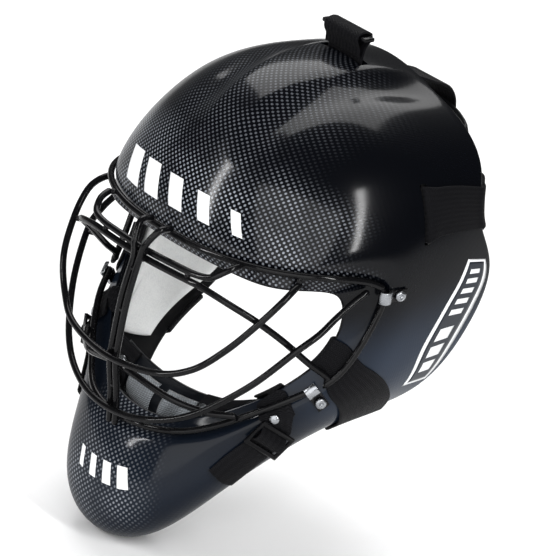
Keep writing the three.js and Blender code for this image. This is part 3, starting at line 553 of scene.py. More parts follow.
def carbon():
    """Clear coat over a plain weave: the staggered grid of lobes is the weave, and their light grey colour is
    a painted glint where the weave would catch the light.
    """
    g = Graph("carbon_clear_coat", (0.002, 0.0025, 0.004), 0.3, Coat_Weight=0.27, Coat_Roughness=0.12,
              Specular_IOR_Level=0.02)
    x, y, _ = g.uv(WEAVE_PITCH)
    lobes = g.math("MULTIPLY", g.wave(x), g.wave(y))
    fibre = g.noise(2600, 2)
    patches = g.ease(g.noise(38, 2), 0.3, 0.62, 0.35, 1)
    # Painted glints: the weave's lobes take a light grey colour where the weave attribute and slow patches
    # let them show.
    lit = g.math("MULTIPLY", g.ease(lobes, 0.12, 0.72), g.math("MULTIPLY", g.attribute("weave"), patches))
    glint_colour = g.mix(fibre, (0.07, 0.08, 0.1), (0.36, 0.38, 0.42))
    body = g.mix(g.attribute("blue"), (0.0009, 0.0012, 0.0022), (0.014, 0.022, 0.038))
    woven = g.mix(lit, body, glint_colour)
    g.color(g.mix(g.attribute("inside"), woven, (0.012, 0.012, 0.013)))
    g.roughness(g.ease(fibre, 0.2, 0.8, 0.26, 0.42))
    g.bump(lobes, 0.05, 0.5)
    g.bump(g.noise(55, 2), 0.25, 0.12, coat=True)
    return g.material


def coated_wire():
    g = Graph("gloss_black_coating", (0.002, 0.002, 0.0025), 0.2, Coat_Weight=0.24, Coat_Roughness=0.04,
              Specular_IOR_Level=0.03)
    orange_peel = g.noise(420, 3)
    g.color(g.mix(g.noise(60), (0.0015, 0.0015, 0.002), (0.004, 0.004, 0.0045)))
    g.roughness(g.ease(orange_peel, 0.3, 0.7, 0.17, 0.3))
    g.bump(orange_peel, 0.12, 0.25)
    return g.material


def steel():
    g = Graph("bright_steel", (0.78, 0.79, 0.81), 0.22, Metallic=1.0)
    brushed = g.noise(900, 4)
    g.color(g.mix(g.noise(130), (0.2, 0.21, 0.22), (0.34, 0.35, 0.37)))
    g.roughness(g.ease(brushed, 0.25, 0.75, 0.16, 0.36))
    g.bump(brushed, 0.02, 0.15)
    return g.material


def foam():
    """Closed-cell foam with a faint skin: fine cells and slow unevenness."""
    g = Graph("pale_foam", (0.86, 0.87, 0.86), 0.8, Sheen_Weight=0.15)
    cells = g.cells(950)
    soft = g.noise(120, 4)
    g.color(g.mix(g.math("MULTIPLY", cells, soft), (0.92, 0.93, 0.92), (0.7, 0.71, 0.72)))
    g.roughness(g.ease(soft, 0.3, 0.7, 0.62, 0.9))
    g.bump(g.math("ADD", cells, soft), 0.35, 0.35)
    return g.material


LOOPS_PER_METRE = 1000 / 0.9


def lining_cloth(name, low, high):
    """Brushed knit: rows of small loops under a nap."""
    g = Graph(name, low, 0.9, Sheen_Weight=0.35)
    x, y, z = g.split(g.place())
    across = g.wave(g.math("MULTIPLY", x, LOOPS_PER_METRE))
    along = g.wave(g.math("MULTIPLY", g.math("ADD", z, y), LOOPS_PER_METRE))
    loops = g.math("MULTIPLY", across, along)
    nap = g.noise(1500, 4)
    g.color(g.mix(g.math("MULTIPLY", g.ease(loops, -0.6, 0.8), nap), low, high))
    g.roughness(g.ease(nap, 0.3, 0.7, 0.78, 0.96))
    g.bump(g.math("ADD", loops, nap), 0.3, 0.5)
    return g.material


def webbing(name, rib, cord, low, high):
    """Woven strap: ribs across it every rib millimetres, cords along it every cord millimetres."""
    g = Graph(name, low, 0.62, Sheen_Weight=0.01, Specular_IOR_Level=0.06)
    across, _, place = g.uv(cord)
    _, along, _ = g.uv(rib)
    shifted = g.math("ADD", along, g.math("MULTIPLY", g.wave(across), 0.3))
    weave = g.math("MULTIPLY", g.math("ABSOLUTE", g.wave(shifted)), g.ease(g.wave(across), -1, 1, 0.55, 1))
    fibre = g.noise(5.0, 3, place)
    g.color(g.mix(g.math("MULTIPLY", weave, fibre), low, high))
    g.roughness(g.ease(fibre, 0.3, 0.7, 0.5, 0.75))
    g.bump(weave, 0.4, 0.8)
    return g.material


def moulded(name, low, high, roughness):
    """Moulded plastic: a fine spark-eroded grain with a few scuffs."""
    g = Graph(name, low, roughness, Specular_IOR_Level=0.12)
    grain = g.noise(1700, 3)
    scuffs = g.ease(g.noise(90, 6), 0.56, 0.72)
    g.color(g.mix(scuffs, low, high))
    g.roughness(g.ease(g.math("ADD", grain, scuffs), 0.3, 1.3, roughness - 0.08, roughness + 0.15))
    g.bump(grain, 0.08, 0.5)
    return g.material


def printed(name, low, high):
    """Ink of a printed film, a little uneven under the clear coat."""
    g = Graph(name, low, 0.4, Coat_Weight=0.1, Coat_Roughness=0.1, Specular_IOR_Level=0.15)
    g.color(g.mix(g.noise(500, 3), low, high))
    g.bump(g.noise(300, 3), 0.05, 0.2)
    return g.material


CARBON = carbon()
WIRE_COAT = coated_wire()
STEEL = steel()
FOAM = foam()
LINING = lining_cloth("dark_lining_cloth", (0.02, 0.02, 0.022), (0.09, 0.09, 0.095))
CUP_LINING = lining_cloth("pale_lining_cloth", (0.34, 0.34, 0.33), (0.7, 0.7, 0.68))
PANEL_CLOTH = lining_cloth("speckled_cloth", (0.05, 0.06, 0.07), (0.5, 0.53, 0.56))
WEBBING = webbing("black_webbing", 1.25, 2.1, (0.0015, 0.0015, 0.002), (0.011, 0.011, 0.013))
ELASTIC = webbing("black_elastic", 0.9, 1.5, (0.001, 0.001, 0.0015), (0.008, 0.008, 0.01))
BLACK_PLASTIC = moulded("black_moulding", (0.002, 0.002, 0.0025), (0.012, 0.012, 0.013), 0.3)
PLATE_PLASTIC = moulded("plate_moulding", (0.005, 0.005, 0.006), (0.009, 0.009, 0.01), 0.4)
CUP_PLASTIC = moulded("cup_moulding", (0.004, 0.005, 0.007), (0.016, 0.018, 0.022), 0.36)
WHITE_INK = printed("white_ink", (0.7, 0.71, 0.72), (0.82, 0.83, 0.84))
NAVY_INK = printed("navy_ink", (0.005, 0.008, 0.014), (0.01, 0.014, 0.022))


# ---- the shell with its slots ----
def cutting_block(name, size, place):
    """A block that cuts a strap's slot."""
    obj = linked(name, bpy.data.meshes.new(name))
    with editing(obj.data) as work:
        bmesh.ops.create_cube(work, size=1)
        corners = np.array([vertex.co[:] for vertex in work.verts]) * size
        for vertex, point in zip(work.verts, place.at(corners) * MM):
            vertex.co = point
        bmesh.ops.recalc_face_normals(work, faces=work.faces)
    return obj


# Corners of the side strap as (u, v); its front edge is the slot and its rear edge the shell's rim.
SIDE_STRAP = {"front_top": (2.98, 1.72), "front_bottom": (3.86, 2.42),
              "rear_top": (3.3, 0), "rear_bottom": (4.16, 0)}
CROWN_SLOT_SIZE = (CROWN_STRAP_WIDTH + 4, 6.5, 40)
CROWN_SLOT_Z = 118
SIDE_SLOT_SIZE = (37, 5, 20)


def side_slot_frame():
    top, bottom = SIDE_STRAP["front_top"], SIDE_STRAP["front_bottom"]
    direction = skin(*bottom) - skin(*top)
    return frame_on((top[0] + bottom[0]) / 2, (top[1] + bottom[1]) / 2, 0, direction)


def mirror_frame(place):
    flip = np.array([-1, 1, 1])
    return Frame(*(place.axes * flip), place.place * flip)


def shell_piece():
    obj = build_shell()
    upright = Frame(*np.eye(3), (0, CROWN_SLOT_Y, CROWN_SLOT_Z))
    side = side_slot_frame()
    cutters = [cutting_block("cut_crown", CROWN_SLOT_SIZE, upright),
               cutting_block("cut_left", SIDE_SLOT_SIZE, side),
               cutting_block("cut_right", SIDE_SLOT_SIZE, mirror_frame(side))]
    for cutter in cutters:
        cut = obj.modifiers.new("slot", "BOOLEAN")
        cut.operation = "DIFFERENCE"
        cut.solver = "EXACT"
        cut.object = cutter
    apply_modifiers(obj)
    for cutter in cutters:
        bpy.data.objects.remove(cutter)
    obj.data.set_sharp_from_angle(angle=math.radians(55))
    settle(obj, SHELL, "carbon_shell", "shell")


# ---- foam liner ----
GROOVE_DEPTH = 1.6
GROOVE_WIDTH = 0.035


def pad(name, us, vs, thickness, gap, swell=1.2, channels=()):
    """A foam pad with rounded edges inside the shell; channels are shallow seams along it, as shares."""
    share = 0.5 - 0.5 * np.cos(np.linspace(0, math.pi, 33))
    a, b = np.meshgrid(share, share, indexing="ij")
    u = us[0] + (us[1] - us[0]) * a
    v = vs[0] + (vs[1] - vs[0]) * b
    deep = thickness(v) if callable(thickness) else np.full_like(v, float(thickness))
    full = round_over(a) * round_over(b)
    groove = sum(GROOVE_DEPTH * np.exp(-((b - place) / GROOVE_WIDTH) ** 2) for place in channels)
    middle = SHELL_THICKNESS + gap + deep / 2
    front = offset_skin(u, v, middle - deep / 2 * full)
    back = offset_skin(u, v, middle + (deep / 2 + dome(a, b, swell) - groove) * full)
    return two_faces(name, front, back, FOAM)


def dome(a, b, height):
    """A swelling that is highest in the middle of the shares a and b and 0 along the edges."""
    return height * 16 * a * (1 - a) * b * (1 - b)


def round_over(share, edge=0.07):
    """1 in the middle, falling to 0 at both ends like a quarter round."""
    near = np.clip(np.minimum(share, 1 - share) / edge, 0, 1)
    return np.sqrt(np.clip(1 - (1 - near) ** 2, 0, 1))


def two_faces(name, front, back, material):
    """A closed skin from two grids of points that meet along their borders."""
    count = front[..., 0].size
    cells = cell_corners(np.arange(count).reshape(front.shape[:2])).reshape(-1, 4)
    uv = cell_corners(np.stack([distances(front, 0), distances(front, 1)], axis=-1)).reshape(-1, 4, 2)
    faces = np.concatenate([cells, cells[:, ::-1] + count]).tolist()
    uvs = np.concatenate([uv, uv[:, ::-1]]) * MM
    points = np.concatenate([front.reshape(-1, 3), back.reshape(-1, 3)])
    obj = make_mesh(name, points, faces, uvs, material)
    with editing(obj.data) as work:
        bmesh.ops.remove_doubles(work, verts=work.verts, dist=1e-6)
        bmesh.ops.recalc_face_normals(work, faces=work.faces)
    face_out(obj.data)
    obj.data.shade_smooth()
    return obj


def cheek_depth(v):
    return 11 - 6 * smoothstep(v, 4, 6)


def liner():
    head, gap = 12, 1.2
    singles = [("forehead_pad", pad("forehead_foam", (-1.7, 1.7), (3.15, 4.6), head, gap, channels=(0.5,))),
               ("crown_pad", pad("crown_foam", (-1.4, 1.4), (1.35, 2.9), head, gap + 3)),
               ("chin_liner", pad("chin_foam", (8.8, 13.2), (1.7, 4.3), 6, gap, swell=0.4))]
    temple = pad("temple_foam_left", (1.95, 2.75), (0.6, 4.2), head, gap)
    ear = pad("ear_foam_left", (4.25, 5.72), (0.15, 4.3), head, gap)
    cheek = pad("cheek_foam_left", (5.8, 8.2), (0.45, 6.5), cheek_depth, 2.8, channels=(0.62,))
    for node, left in (("temple_pad", temple), ("ear_pad", ear), ("cheek_pad", cheek)):
        singles += [(f"{node}_{side}", obj) for side, obj in both(left)]
    for node, obj in singles:
        settle(obj, SHELL, "liner_foam", node)


# ---- cage ----
def both_sides(half):
    return [(-x, y, z) for x, y, z in half[:0:-1]] + list(half)


UPPER_BAR = [(0, -164, -58), (38, -159.5, -54), (60, -151, -44), (76.5, -142, -26), (87, -128.5, -6),
             (91.5, -117, 8), (91, -109, 14), (89, -103, 16.5)]
LOWER_BAR = [(0, -157.5, -93), (30, -154, -89), (58, -143, -76), (83, -124.5, -50), (98.5, -105, -23),
             (102.5, -92, -12), (102.5, -81, -3.5), (104, -70, 6), (105.5, -62, 12)]
CROSS_BAR = [(0, -149, 5), (30, -148, 5.5), (50, -145, 5), (69, -138, 0.5), (82, -126, -7),
             (90, -109, -19), (95.5, -90, -34), (100, -76, -44)]
CHIN_BAR = [(0, -154.5, -64.5), (35, -145, -72.5), (56, -131, -76.5), (69.5, -119, -75.5)]
BROW_LOOP = [(0, -148, 9.8), (28, -147, 10.4), (44, -145, 10.6), (54, -142, 12.5), (59.5, -135, 18),
             (61, -128, 20.5)]
CENTRE_WIRE = [(9, -138.5, 25.5), (8.8, -147, 25), (5, -153.2, 15), (2.6, -153.8, 5), (2.6, -158, -20),
               (2.6, -159.3, -45), (2.6, -159.1, -62), (2.6, -155, -80), (2.6, -152.4, -95),
               (2.6, -151.5, -103)]


def cage_paths():
    corner_and_side = [tuple(recess_wire(u)) for u in (7.05, *np.linspace(6.75, 4.3, 13))]
    return {
        "cage_cross_wire": both_sides(CROSS_BAR + corner_and_side),
        "cage_brow_wire": recess_wire(np.linspace(-4, 4, 25)),
        "cage_jaw_wire": recess_wire(np.linspace(7.28, 14.72, 15), JAW_WIRE_V),
        "cage_upper_bar": both_sides(UPPER_BAR),
        "cage_lower_bar": both_sides(LOWER_BAR),
        "cage_chin_bar": both_sides(CHIN_BAR),
        "cage_brow_loop": both_sides(BROW_LOOP),
        "cage_centre_wire_left": CENTRE_WIRE,
        "cage_centre_wire_right": [(-x, y, z) for x, y, z in CENTRE_WIRE],
    }


WELD_REACH = 3.4
WELD_SPACING = 25
WELD_WAIST = 0.86 * WIRE_RADIUS


def weld_beads(lines):
    """Small beads where two wires pass close to each other."""
    names = list(lines)
    count = 0
    for i, first in enumerate(names):
        for second in names[i + 1:]:
            apart = np.linalg.norm(lines[first][:, None] - lines[second][None], axis=2)
            while True:
                k, m = np.unravel_index(np.argmin(apart), apart.shape)
                if apart[k, m] > 2 * WIRE_RADIUS + WELD_REACH:
                    break
                weld_bead(f"weld_bead_{count:02d}", lines[first][k], lines[second][m])
                count += 1
                near = np.linalg.norm(lines[first] - lines[first][k], axis=1) < WELD_SPACING
                apart[near] = np.inf


def weld_bead(name, a, b):
    along = unit(b - a)
    side = unit(np.cross(along, SIDE_HINT))
    half = np.linalg.norm(b - a) / 2 + 0.6
    profile = []
    for angle in np.radians(np.linspace(-90, 90, 13)):
        reach = math.cos(angle)
        profile.append((0 if abs(reach) < ON_AXIS else WELD_WAIST * reach ** 0.7, half * math.sin(angle)))
    obj = lathe(name, profile, Frame(side, np.cross(along, side), along, (a + b) / 2), WIRE_COAT, 20)
    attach(obj, SHELL)


def cage():
    lines = {}
    for node, points in cage_paths().items():
        obj = tube(node.replace("cage", "wire"), points, WIRE_RADIUS, WIRE_COAT, 2.6)
        settle(obj, SHELL, "black_wire", node)
        lines[node] = smooth_line(points, 1.5)
    weld_beads(lines)


# ---- clips, screws and nuts ----
# The screw's u and v, where the stretch of wire that the clip may reach starts and ends, and the wire's v.
CLIPS = {"upper": (4.58, 4.55, 4.4, 5.8, BROW_WIRE_V), "lower": (7.4, 4.5, 7.3, 8, JAW_WIRE_V)}
SEAT = 0.35
CLIP_SHEET = 1.2
LOOP_REACH = 4.6
SCREW = {"radius": 2, "head": 3.6, "tip": -8.6}


def clip_frame(clip):
    screw_u, screw_v, wire_from, wire_to, wire_v = clip
    seat = offset_skin(screw_u, screw_v, 0)
    choices = recess_wire(np.linspace(wire_from, wire_to, 41), wire_v)
    nearest = choices[np.argmin(np.linalg.norm(choices - seat, axis=1))]
    return frame_on(screw_u, screw_v, 0, nearest - seat), nearest


def coat_plate(obj, place, wire):
    """The sheet of a clip is coated black, and only its loop round the wire is bare steel."""
    loop_starts = place.back(wire)[0] - LOOP_REACH
    obj.data.materials.append(WIRE_COAT)
    for face in obj.data.polygons:
        if place.back(np.array(face.center) / MM)[0] < loop_starts:
            face.material_index = 1


def screw_profile():
    """Pan head with a socket, on a plain shank; heights are from the shell's outer face."""
    low = 2 * SEAT + CLIP_SHEET
    head, radius, tip = SCREW["head"], SCREW["radius"], SCREW["tip"]
    shank = [(0, tip), (radius - 0.4, tip), (radius, tip + 0.5), (radius, low)]
    angles = np.radians(np.arange(0, 70, 10))
    pan = [(head * math.cos(angle) ** 0.6, low + 0.5 + 1.7 * math.sin(angle)) for angle in angles]
    socket = [(1.5, low + 2.15), (1.35, low + 2.05), (1.35, low + 1.1), (0, low + 1.0)]
    return [*shank, (head - 0.25, low), (head, low + 0.2), *pan, *socket]


def cage_fixings():
    for name, clip in CLIPS.items():
        place, wire = clip_frame(clip)
        sides = ("left", place, wire), ("right", mirror_frame(place), wire * (-1, 1, 1))
        for side, where, loop in sides:
            sheet = refined_copy(f"{name}_clip_{side}", STEEL, 0.3)
            coat_plate(sheet, where, loop)
            screw = lathe(f"{name}_pan_screw_{side}", screw_profile(), where, STEEL)
            nut = refined_copy(f"{name}_nut_{side}", STEEL, 0.3)
            for kind, obj in (("clip", sheet), ("screw", screw), ("nut", nut)):
                settle(obj, SHELL, "steel_fasteners", f"{name}_{kind}_{side}")


# ---- straps ----
# A station is a row of points across the strap's lower face and the way its upper face looks at each.
ACROSS = np.array([0, 0.006, 0.016, 0.03, 0.12, 0.24, 0.37, 0.5, 0.63, 0.76, 0.88, 0.97, 0.984, 0.994, 1])
SELVEDGE = 0.03
STRAP_STEP = 1.8
CHIN_WEBBING_WIDTH = 20
SIDE_STRAP_WIDTH = 34


def between(a, b, share):
    share = np.asarray(share, float)[..., None]
    return np.asarray(a, float) * (1 - share) + np.asarray(b, float) * share


def smooth_rows(rows, step):
    """Rows of points made dense along their first axis, by a cubic that copes with uneven spacing."""
    gaps = np.linalg.norm(np.diff(rows[..., :3], axis=0), axis=-1)
    gaps = gaps.reshape(len(gaps), -1).mean(axis=1)
    wide = gaps.reshape((-1,) + (1,) * (rows.ndim - 1))
    steep = np.diff(rows, axis=0) / wide
    inner = (steep[:-1] * wide[1:] + steep[1:] * wide[:-1]) / (wide[1:] + wide[:-1])
    slants = np.concatenate([steep[:1], inner, steep[-1:]])
    out = []
    for i, gap in enumerate(gaps):
        count = max(1, int(round(gap / step)))
        t = (np.arange(count) / count).reshape((-1,) + (1,) * (rows.ndim - 1))
        out.append((2 * t ** 3 - 3 * t ** 2 + 1) * rows[i] + (t ** 3 - 2 * t ** 2 + t) * gap * slants[i]
                   + (3 * t ** 2 - 2 * t ** 3) * rows[i + 1] + (t ** 3 - t ** 2) * gap * slants[i + 1])
    return np.concatenate([*out, rows[-1:]])


def strap(name, stations, material):
    """A band of webbing through its stations, thinner along both selvedges."""
    rows = np.array([np.concatenate([points, outs], axis=1) for points, outs in stations])
    rows = smooth_rows(rows, STRAP_STEP)
    points, outs = rows[..., :3], unit(rows[..., 3:])
    near = np.clip(np.minimum(ACROSS, 1 - ACROSS) / SELVEDGE, 0, 1)
    half = (WEBBING_THICKNESS / 2 * np.sqrt(1 - (1 - near) ** 2))[None, :, None]
    middle = points + outs * WEBBING_THICKNESS / 2
    rings = np.concatenate([middle + outs * half, (middle - outs * half)[:, -2:0:-1]], axis=1)
    shares = np.concatenate([ACROSS, ACROSS[-2:0:-1], ACROSS[:1]])
    width = np.linalg.norm(points[:, -1] - points[:, 0], axis=1).mean()
    travelled = distances(points[:, len(ACROSS) // 2])
    uv = np.stack(np.broadcast_arrays(shares[None] * width, travelled[:, None]), axis=-1) * MM
    return loop_grid(name, rings, uv, material)


def on_shell(a, b, lift=WEBBING_LIFT):
    u, v = between(a, b, ACROSS).T
    return offset_skin(u, v, -lift), surface_normal(u, v)


def in_air(a, b, out):
    return between(a, b, ACROSS), np.tile(unit(np.array(out, float)), (len(ACROSS), 1))


def round_edge(u_a, u_b, v, angles, lift=WEBBING_LIFT + 0.5):
    return edge_turn(u_a + (u_b - u_a) * ACROSS, v, angles, lift)


# ---- back plate ----
PLATE_SHAPE = {"radius": 83, "centre_y": 4, "bottom": -58, "top": 84, "half_angle": 58, "thickness": 3,
               "inset": 14}
FLUTE_DEPTH, FLUTE_WIDTH = 0.7, 0.06
RIM_HEIGHT, RIM_WIDTH = 0.25, 0.03
PLATE_STRAP_LIFT = 0.9
SIDE_STRAP_ON_PLATE = 47


def plate_skin(s, z, offset=0.0):
    """Points of the plate's outer face: s goes across it from -1 to 1, z is the height."""
    s, z = np.broadcast_arrays(np.asarray(s, float), np.asarray(z, float))
    taper = 1 - 0.35 * smoothstep(np.abs(z - 20), 35, 80)
    angle = np.radians(s * PLATE_SHAPE["half_angle"] * taper)
    inset = PLATE_SHAPE["inset"] * smoothstep(z, 30, 110)
    radius = PLATE_SHAPE["radius"] - inset - 6 * smoothstep(-z, 20, 90) + offset
    return np.stack([radius * np.sin(angle), PLATE_SHAPE["centre_y"] + radius * np.cos(angle), z], axis=-1)


def plate_normal(s, z):
    s, z = np.asarray(s, float), np.asarray(z, float)
    up = plate_skin(s, z + 0.5) - plate_skin(s, z - 0.5)
    across = plate_skin(s + 0.01, z) - plate_skin(s - 0.01, z)
    return unit(np.cross(up, across))


def plate_frame(s, z):
    out = plate_normal(s, z)
    up = unit(np.array([0, 0, 1]) - out * out[2])
    return Frame(up, np.cross(out, up), out, plate_skin(s, z))


def back_plate():
    """The moulded plate with a raised rim and three shallow vertical flutes."""
    bottom, top, half = PLATE_SHAPE["bottom"], PLATE_SHAPE["top"], PLATE_SHAPE["thickness"] / 2
    s, z = np.meshgrid(np.linspace(-1, 1, 61), np.linspace(bottom, top, 57), indexing="ij")
    share = (z - bottom) / (top - bottom)
    full = round_over((s + 1) / 2, 0.02) * round_over(share, 0.02)
    inset = np.minimum(1 - np.abs(s), np.minimum(share, 1 - share) * 1.6)
    flute = sum(np.exp(-((s - place) / FLUTE_WIDTH) ** 2) for place in (-0.4, 0, 0.4))
    flute = flute * smoothstep(inset, 0.16, 0.3) * (1 - smoothstep(z, 18, 30))
    rim = np.exp(-((inset - 0.06) / RIM_WIDTH) ** 2)
    outer = plate_skin(s, z, -half + half * full - FLUTE_DEPTH * flute + RIM_HEIGHT * rim * full)
    inner = plate_skin(s, z, -half - half * full)
    settle(two_faces("rear_plate", outer, inner, PLATE_PLASTIC), PLATE, "plate_plastic", "back_plate")


def plate_pad():
    half_width, bottom, top = 0.83, -48, 72
    s, z = np.meshgrid(np.linspace(-half_width, half_width, 41), np.linspace(bottom, top, 37), indexing="ij")
    across, up = (s + half_width) / (2 * half_width), (z - bottom) / (top - bottom)
    full = round_over(across, 0.08) * round_over(up, 0.08)
    middle = -PLATE_SHAPE["thickness"] - 2.4 - 4
    outer, inner = plate_skin(s, z, middle + 3.6 * full), plate_skin(s, z, middle - 3.2 * full)
    obj = two_faces("rear_plate_cushion", outer, inner, CUP_LINING)
    inflate(obj, 2.2)
    settle(obj, PLATE, "liner_foam", "back_plate_pad")


CUSHION_PRESSURE = 4.0
CLOTH_FRAMES = 20


def inflate(obj, cap):
    """Swells a pad as cloth by at most cap millimetres, and leaves the result in its mesh."""
    scene = bpy.context.scene
    even = obj.modifiers.new("even", "REMESH")
    even.mode = "VOXEL"
    even.voxel_size = 4 * MM
    apply_modifiers(obj)
    start = coordinates(obj.data)
    cloth = obj.modifiers.new("cloth", "CLOTH")
    cloth.settings.quality = 6
    cloth.settings.use_pressure = True
    cloth.settings.uniform_pressure_force = CUSHION_PRESSURE
    cloth.settings.effector_weights.gravity = 0
    cloth.point_cache.frame_start = 1
    cloth.point_cache.frame_end = CLOTH_FRAMES
    for step in range(1, CLOTH_FRAMES + 1):
        scene.frame_set(step)
    shown = obj.evaluated_get(bpy.context.evaluated_depsgraph_get())
    moved = coordinates(shown.data) - start
    far = np.linalg.norm(moved, axis=1, keepdims=True)
    moved *= np.minimum(1, cap * MM / np.maximum(far, 1e-9))
    obj.modifiers.clear()
    obj.data.vertices.foreach_set("co", (start + moved).astype(np.float32).ravel())
    scene.frame_set(1)
    finer = obj.modifiers.new("finer", "SUBSURF")
    finer.levels = 1
    apply_modifiers(obj)
    obj.data.shade_smooth()


def coordinates(mesh):
    flat = np.zeros(len(mesh.vertices) * 3, np.float32)
    mesh.vertices.foreach_get("co", flat)
    return flat.reshape(-1, 3).astype(float)


# ---- rivets ----
RIVET_HEAD = 4.2
RIVET_TAIL = 2.9
RIVET_SHANK = 1.6
RIVET_DOME = 1.05


def rivet(name, place, above, below, body, node, head=RIVET_HEAD):
    """A domed rivet from below to above the place it stands on, with a flat tail."""
    angles = np.radians(range(0, 90, 12))
    crown = [(head * math.cos(t), above + SEAT + RIVET_DOME * math.sin(t)) for t in angles]
    tail = [(0, -below - 1), (RIVET_TAIL - 0.4, -below - 1), (RIVET_TAIL, -below - 0.7), (RIVET_TAIL, -below)]
    shank = [(RIVET_SHANK, -below), (RIVET_SHANK, above)]
    profile = [*tail, *shank, (head - 0.2, above), *crown, (0, above + SEAT + RIVET_DOME)]
    settle(lathe(name, profile, place, STEEL), body, "steel_fasteners", node)


def rivet_pair(node, place, above, below, body, head=RIVET_HEAD):
    name = node.replace("rivet", "round_rivet")
    for side, where in (("left", place), ("right", mirror_frame(place))):
        rivet(f"{name}_{side}", where, above, below, body, f"{node}_{side}", head)


def over_strap(lift):
    return lift + WEBBING_THICKNESS + SEAT


# ---- side straps and the crown strap ----
KEEPER = {"radius": 2, "depth": 9, "setback": 3.8}
CROWN_STRAP_TOP = 137.3


def slot_station(place, back, height, look_back, look_out):
    """A station across the side slot; back and height are measured from the slot's place."""
    points = np.stack(np.broadcast_arrays((ACROSS - 0.5) * SIDE_STRAP_WIDTH, back, height), axis=-1)
    look = place.turn(unit(np.array([0, look_back, look_out], float)))
    return place.at(points), np.tile(look, (len(ACROSS), 1))


def side_strap_piece():
    """From a hook round the keeper rod out of the slot, over the shell and its rear edge, to the plate."""
    slot = side_slot_frame()
    radius = KEEPER["radius"] + 0.5
    hook = []
    for angle in np.radians((360, 315, 270, 225, 180)):
        c, s = math.cos(angle), math.sin(angle)
        hook.append(slot_station(slot, KEEPER["setback"] + radius * c, -KEEPER["depth"] + radius * s, c, s))
    lying = []
    for t in (0.16, 0.3, 0.45, 0.6, 0.75, 0.9):
        top = between(SIDE_STRAP["front_top"], SIDE_STRAP["rear_top"], t)
        bottom = between(SIDE_STRAP["front_bottom"], SIDE_STRAP["rear_bottom"], t)
        lying.append(on_shell(top, bottom, WEBBING_LIFT + 0.2))
    z = SIDE_STRAP_ON_PLATE + 16 - 32 * ACROSS
    places = [np.full_like(z, s) for s in (0.93, 0.8, 0.66)]
    on_plate = [(plate_skin(s, z, PLATE_STRAP_LIFT), plate_normal(s, z)) for s in places]
    air = [in_air((90, 36, 66), (92.5, 40, 34), (0.72, 0.69, 0)),
           in_air((79, 46, 65), (81, 48, 32), (0.7, 0.71, 0))]
    rear = round_edge(SIDE_STRAP["rear_top"][0], SIDE_STRAP["rear_bottom"][0], 0, (15, 45))
    leaving = slot_station(slot, 1.2, 0, -1, 0.4)
    return strap("side_elastic_left", [*hook, leaving, *lying, *rear, *air, *on_plate], ELASTIC)


def crown_strap_piece():
    """Out of the crown slot, over the slider bar, back through the slot and under the crown to the plate."""
    half = (CROWN_STRAP_WIDTH - 3) / 2
    y, top = CROWN_SLOT_Y, CROWN_STRAP_TOP
    # Each place is y, z and the way the strap's upper face looks there, as y and z.
    up = [(y - 1.6, 124, -1, 0), (y - 2.2, 129, -1, 0.1), (y - 4.9, top - 3.1, -1, -0.15)]
    over = [(y - 4.8, top, -0.8, 0.6), (y - 3.4, top + 0.7, 0, 1), (y + 3.4, top + 0.7, 0, 1),
            (y + 4.8, top, 0.8, 0.6)]
    down = [(y + 4.9, top - 3.1, 1, -0.15), (y + 1.4, 129, 1, 0.1), (y + 0.6, 124, 1, 0),
            (y + 0.6, 115, 1, 0)]
    back = [(y + 3, 112, 0.7, 0.7), (y + 8, 111.5, 0, 1), (26, 108, 0, 1), (58, 98, 0.3, 1),
            (72, 92.5, 0.6, 0.8)]
    on_plate = [(plate_skin(0, z, PLATE_STRAP_LIFT)[1], z, 1, 0.15) for z in (86, 78, 66, 54)]
    path = [*up, *over, *down, *back, *on_plate]
    stations = [in_air((-half, y, z), (half, y, z), (0, look_y, look_z)) for y, z, look_y, look_z in path]
    return strap("crown_elastic", stations, ELASTIC)


def bend(obj, node):
    """A strap stands for a node: the node is hidden and the strap's placement is baked into its mesh."""
    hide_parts(node)
    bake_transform(obj)


def plate_straps():
    bend(crown_strap_piece(), "crown_strap")
    above, below = over_strap(PLATE_STRAP_LIFT) + 0.4, 3.7
    rivet("crown_round_rivet", plate_frame(0, 61), above, below, PLATE, "crown_strap_rivet")
    for side, obj in both(side_strap_piece()):
        bend(obj, f"side_strap_{side}")
    rivet_pair("side_strap_rivet", plate_frame(0.76, SIDE_STRAP_ON_PLATE), above, below, PLATE)
    slot = side_slot_frame()
    ends = slot.at([(x, KEEPER["setback"], -KEEPER["depth"]) for x in (-18.8, -9, 0, 9, 18.8)])
    for side, rod in both(tube("keeper_rod_left", ends, KEEPER["radius"], BLACK_PLASTIC, 4)):
        settle(rod, SHELL, "black_hardware", f"side_strap_keeper_{side}")
    settle(refined_copy("crown_slider", BLACK_PLASTIC, 0.7, 3), SLIDER, "black_hardware", "crown_slider")


# ---- chin cup ----
CUP_MIDDLE = [(-103, -83), (-112, -88), (-118, -96), (-118.5, -106), (-112, -114), (-99, -119), (-82, -120)]
CUP_SIDE = [(-102, -76), (-107, -81), (-110.5, -87), (-110, -94), (-104, -100), (-93, -104), (-80, -104)]
CUP_SHAPE = {"half_width": 48, "thickness": 2.4, "pad_gap": 1.2}
CUP_STRAP_LIFT = 1
CUP_RIVET = (0.8, 0.22)


def cup_surface(s, t, depth):
    """Points of the cup: s goes across it from -1 to 1, t from its front edge to its rear, depth inwards."""
    s, t = np.atleast_1d(s), np.atleast_1d(t)
    depth = np.broadcast_to(depth, (len(s), len(t)))
    out = np.zeros((len(s), len(t), 3))
    for i, half in enumerate(s):
        line = smooth_rows(between(CUP_MIDDLE, CUP_SIDE, half * half), 0.5)
        reached = distances(line)
        at = t * reached[-1]
        along = unit(read_at(at, reached, np.gradient(line, axis=0)))
        inward = np.stack([-along[:, 1], along[:, 0]], axis=1)
        out[i, :, 0] = half * CUP_SHAPE["half_width"]
        out[i, :, 1:] = read_at(at, reached, line) + inward * depth[i][:, None]
    return out


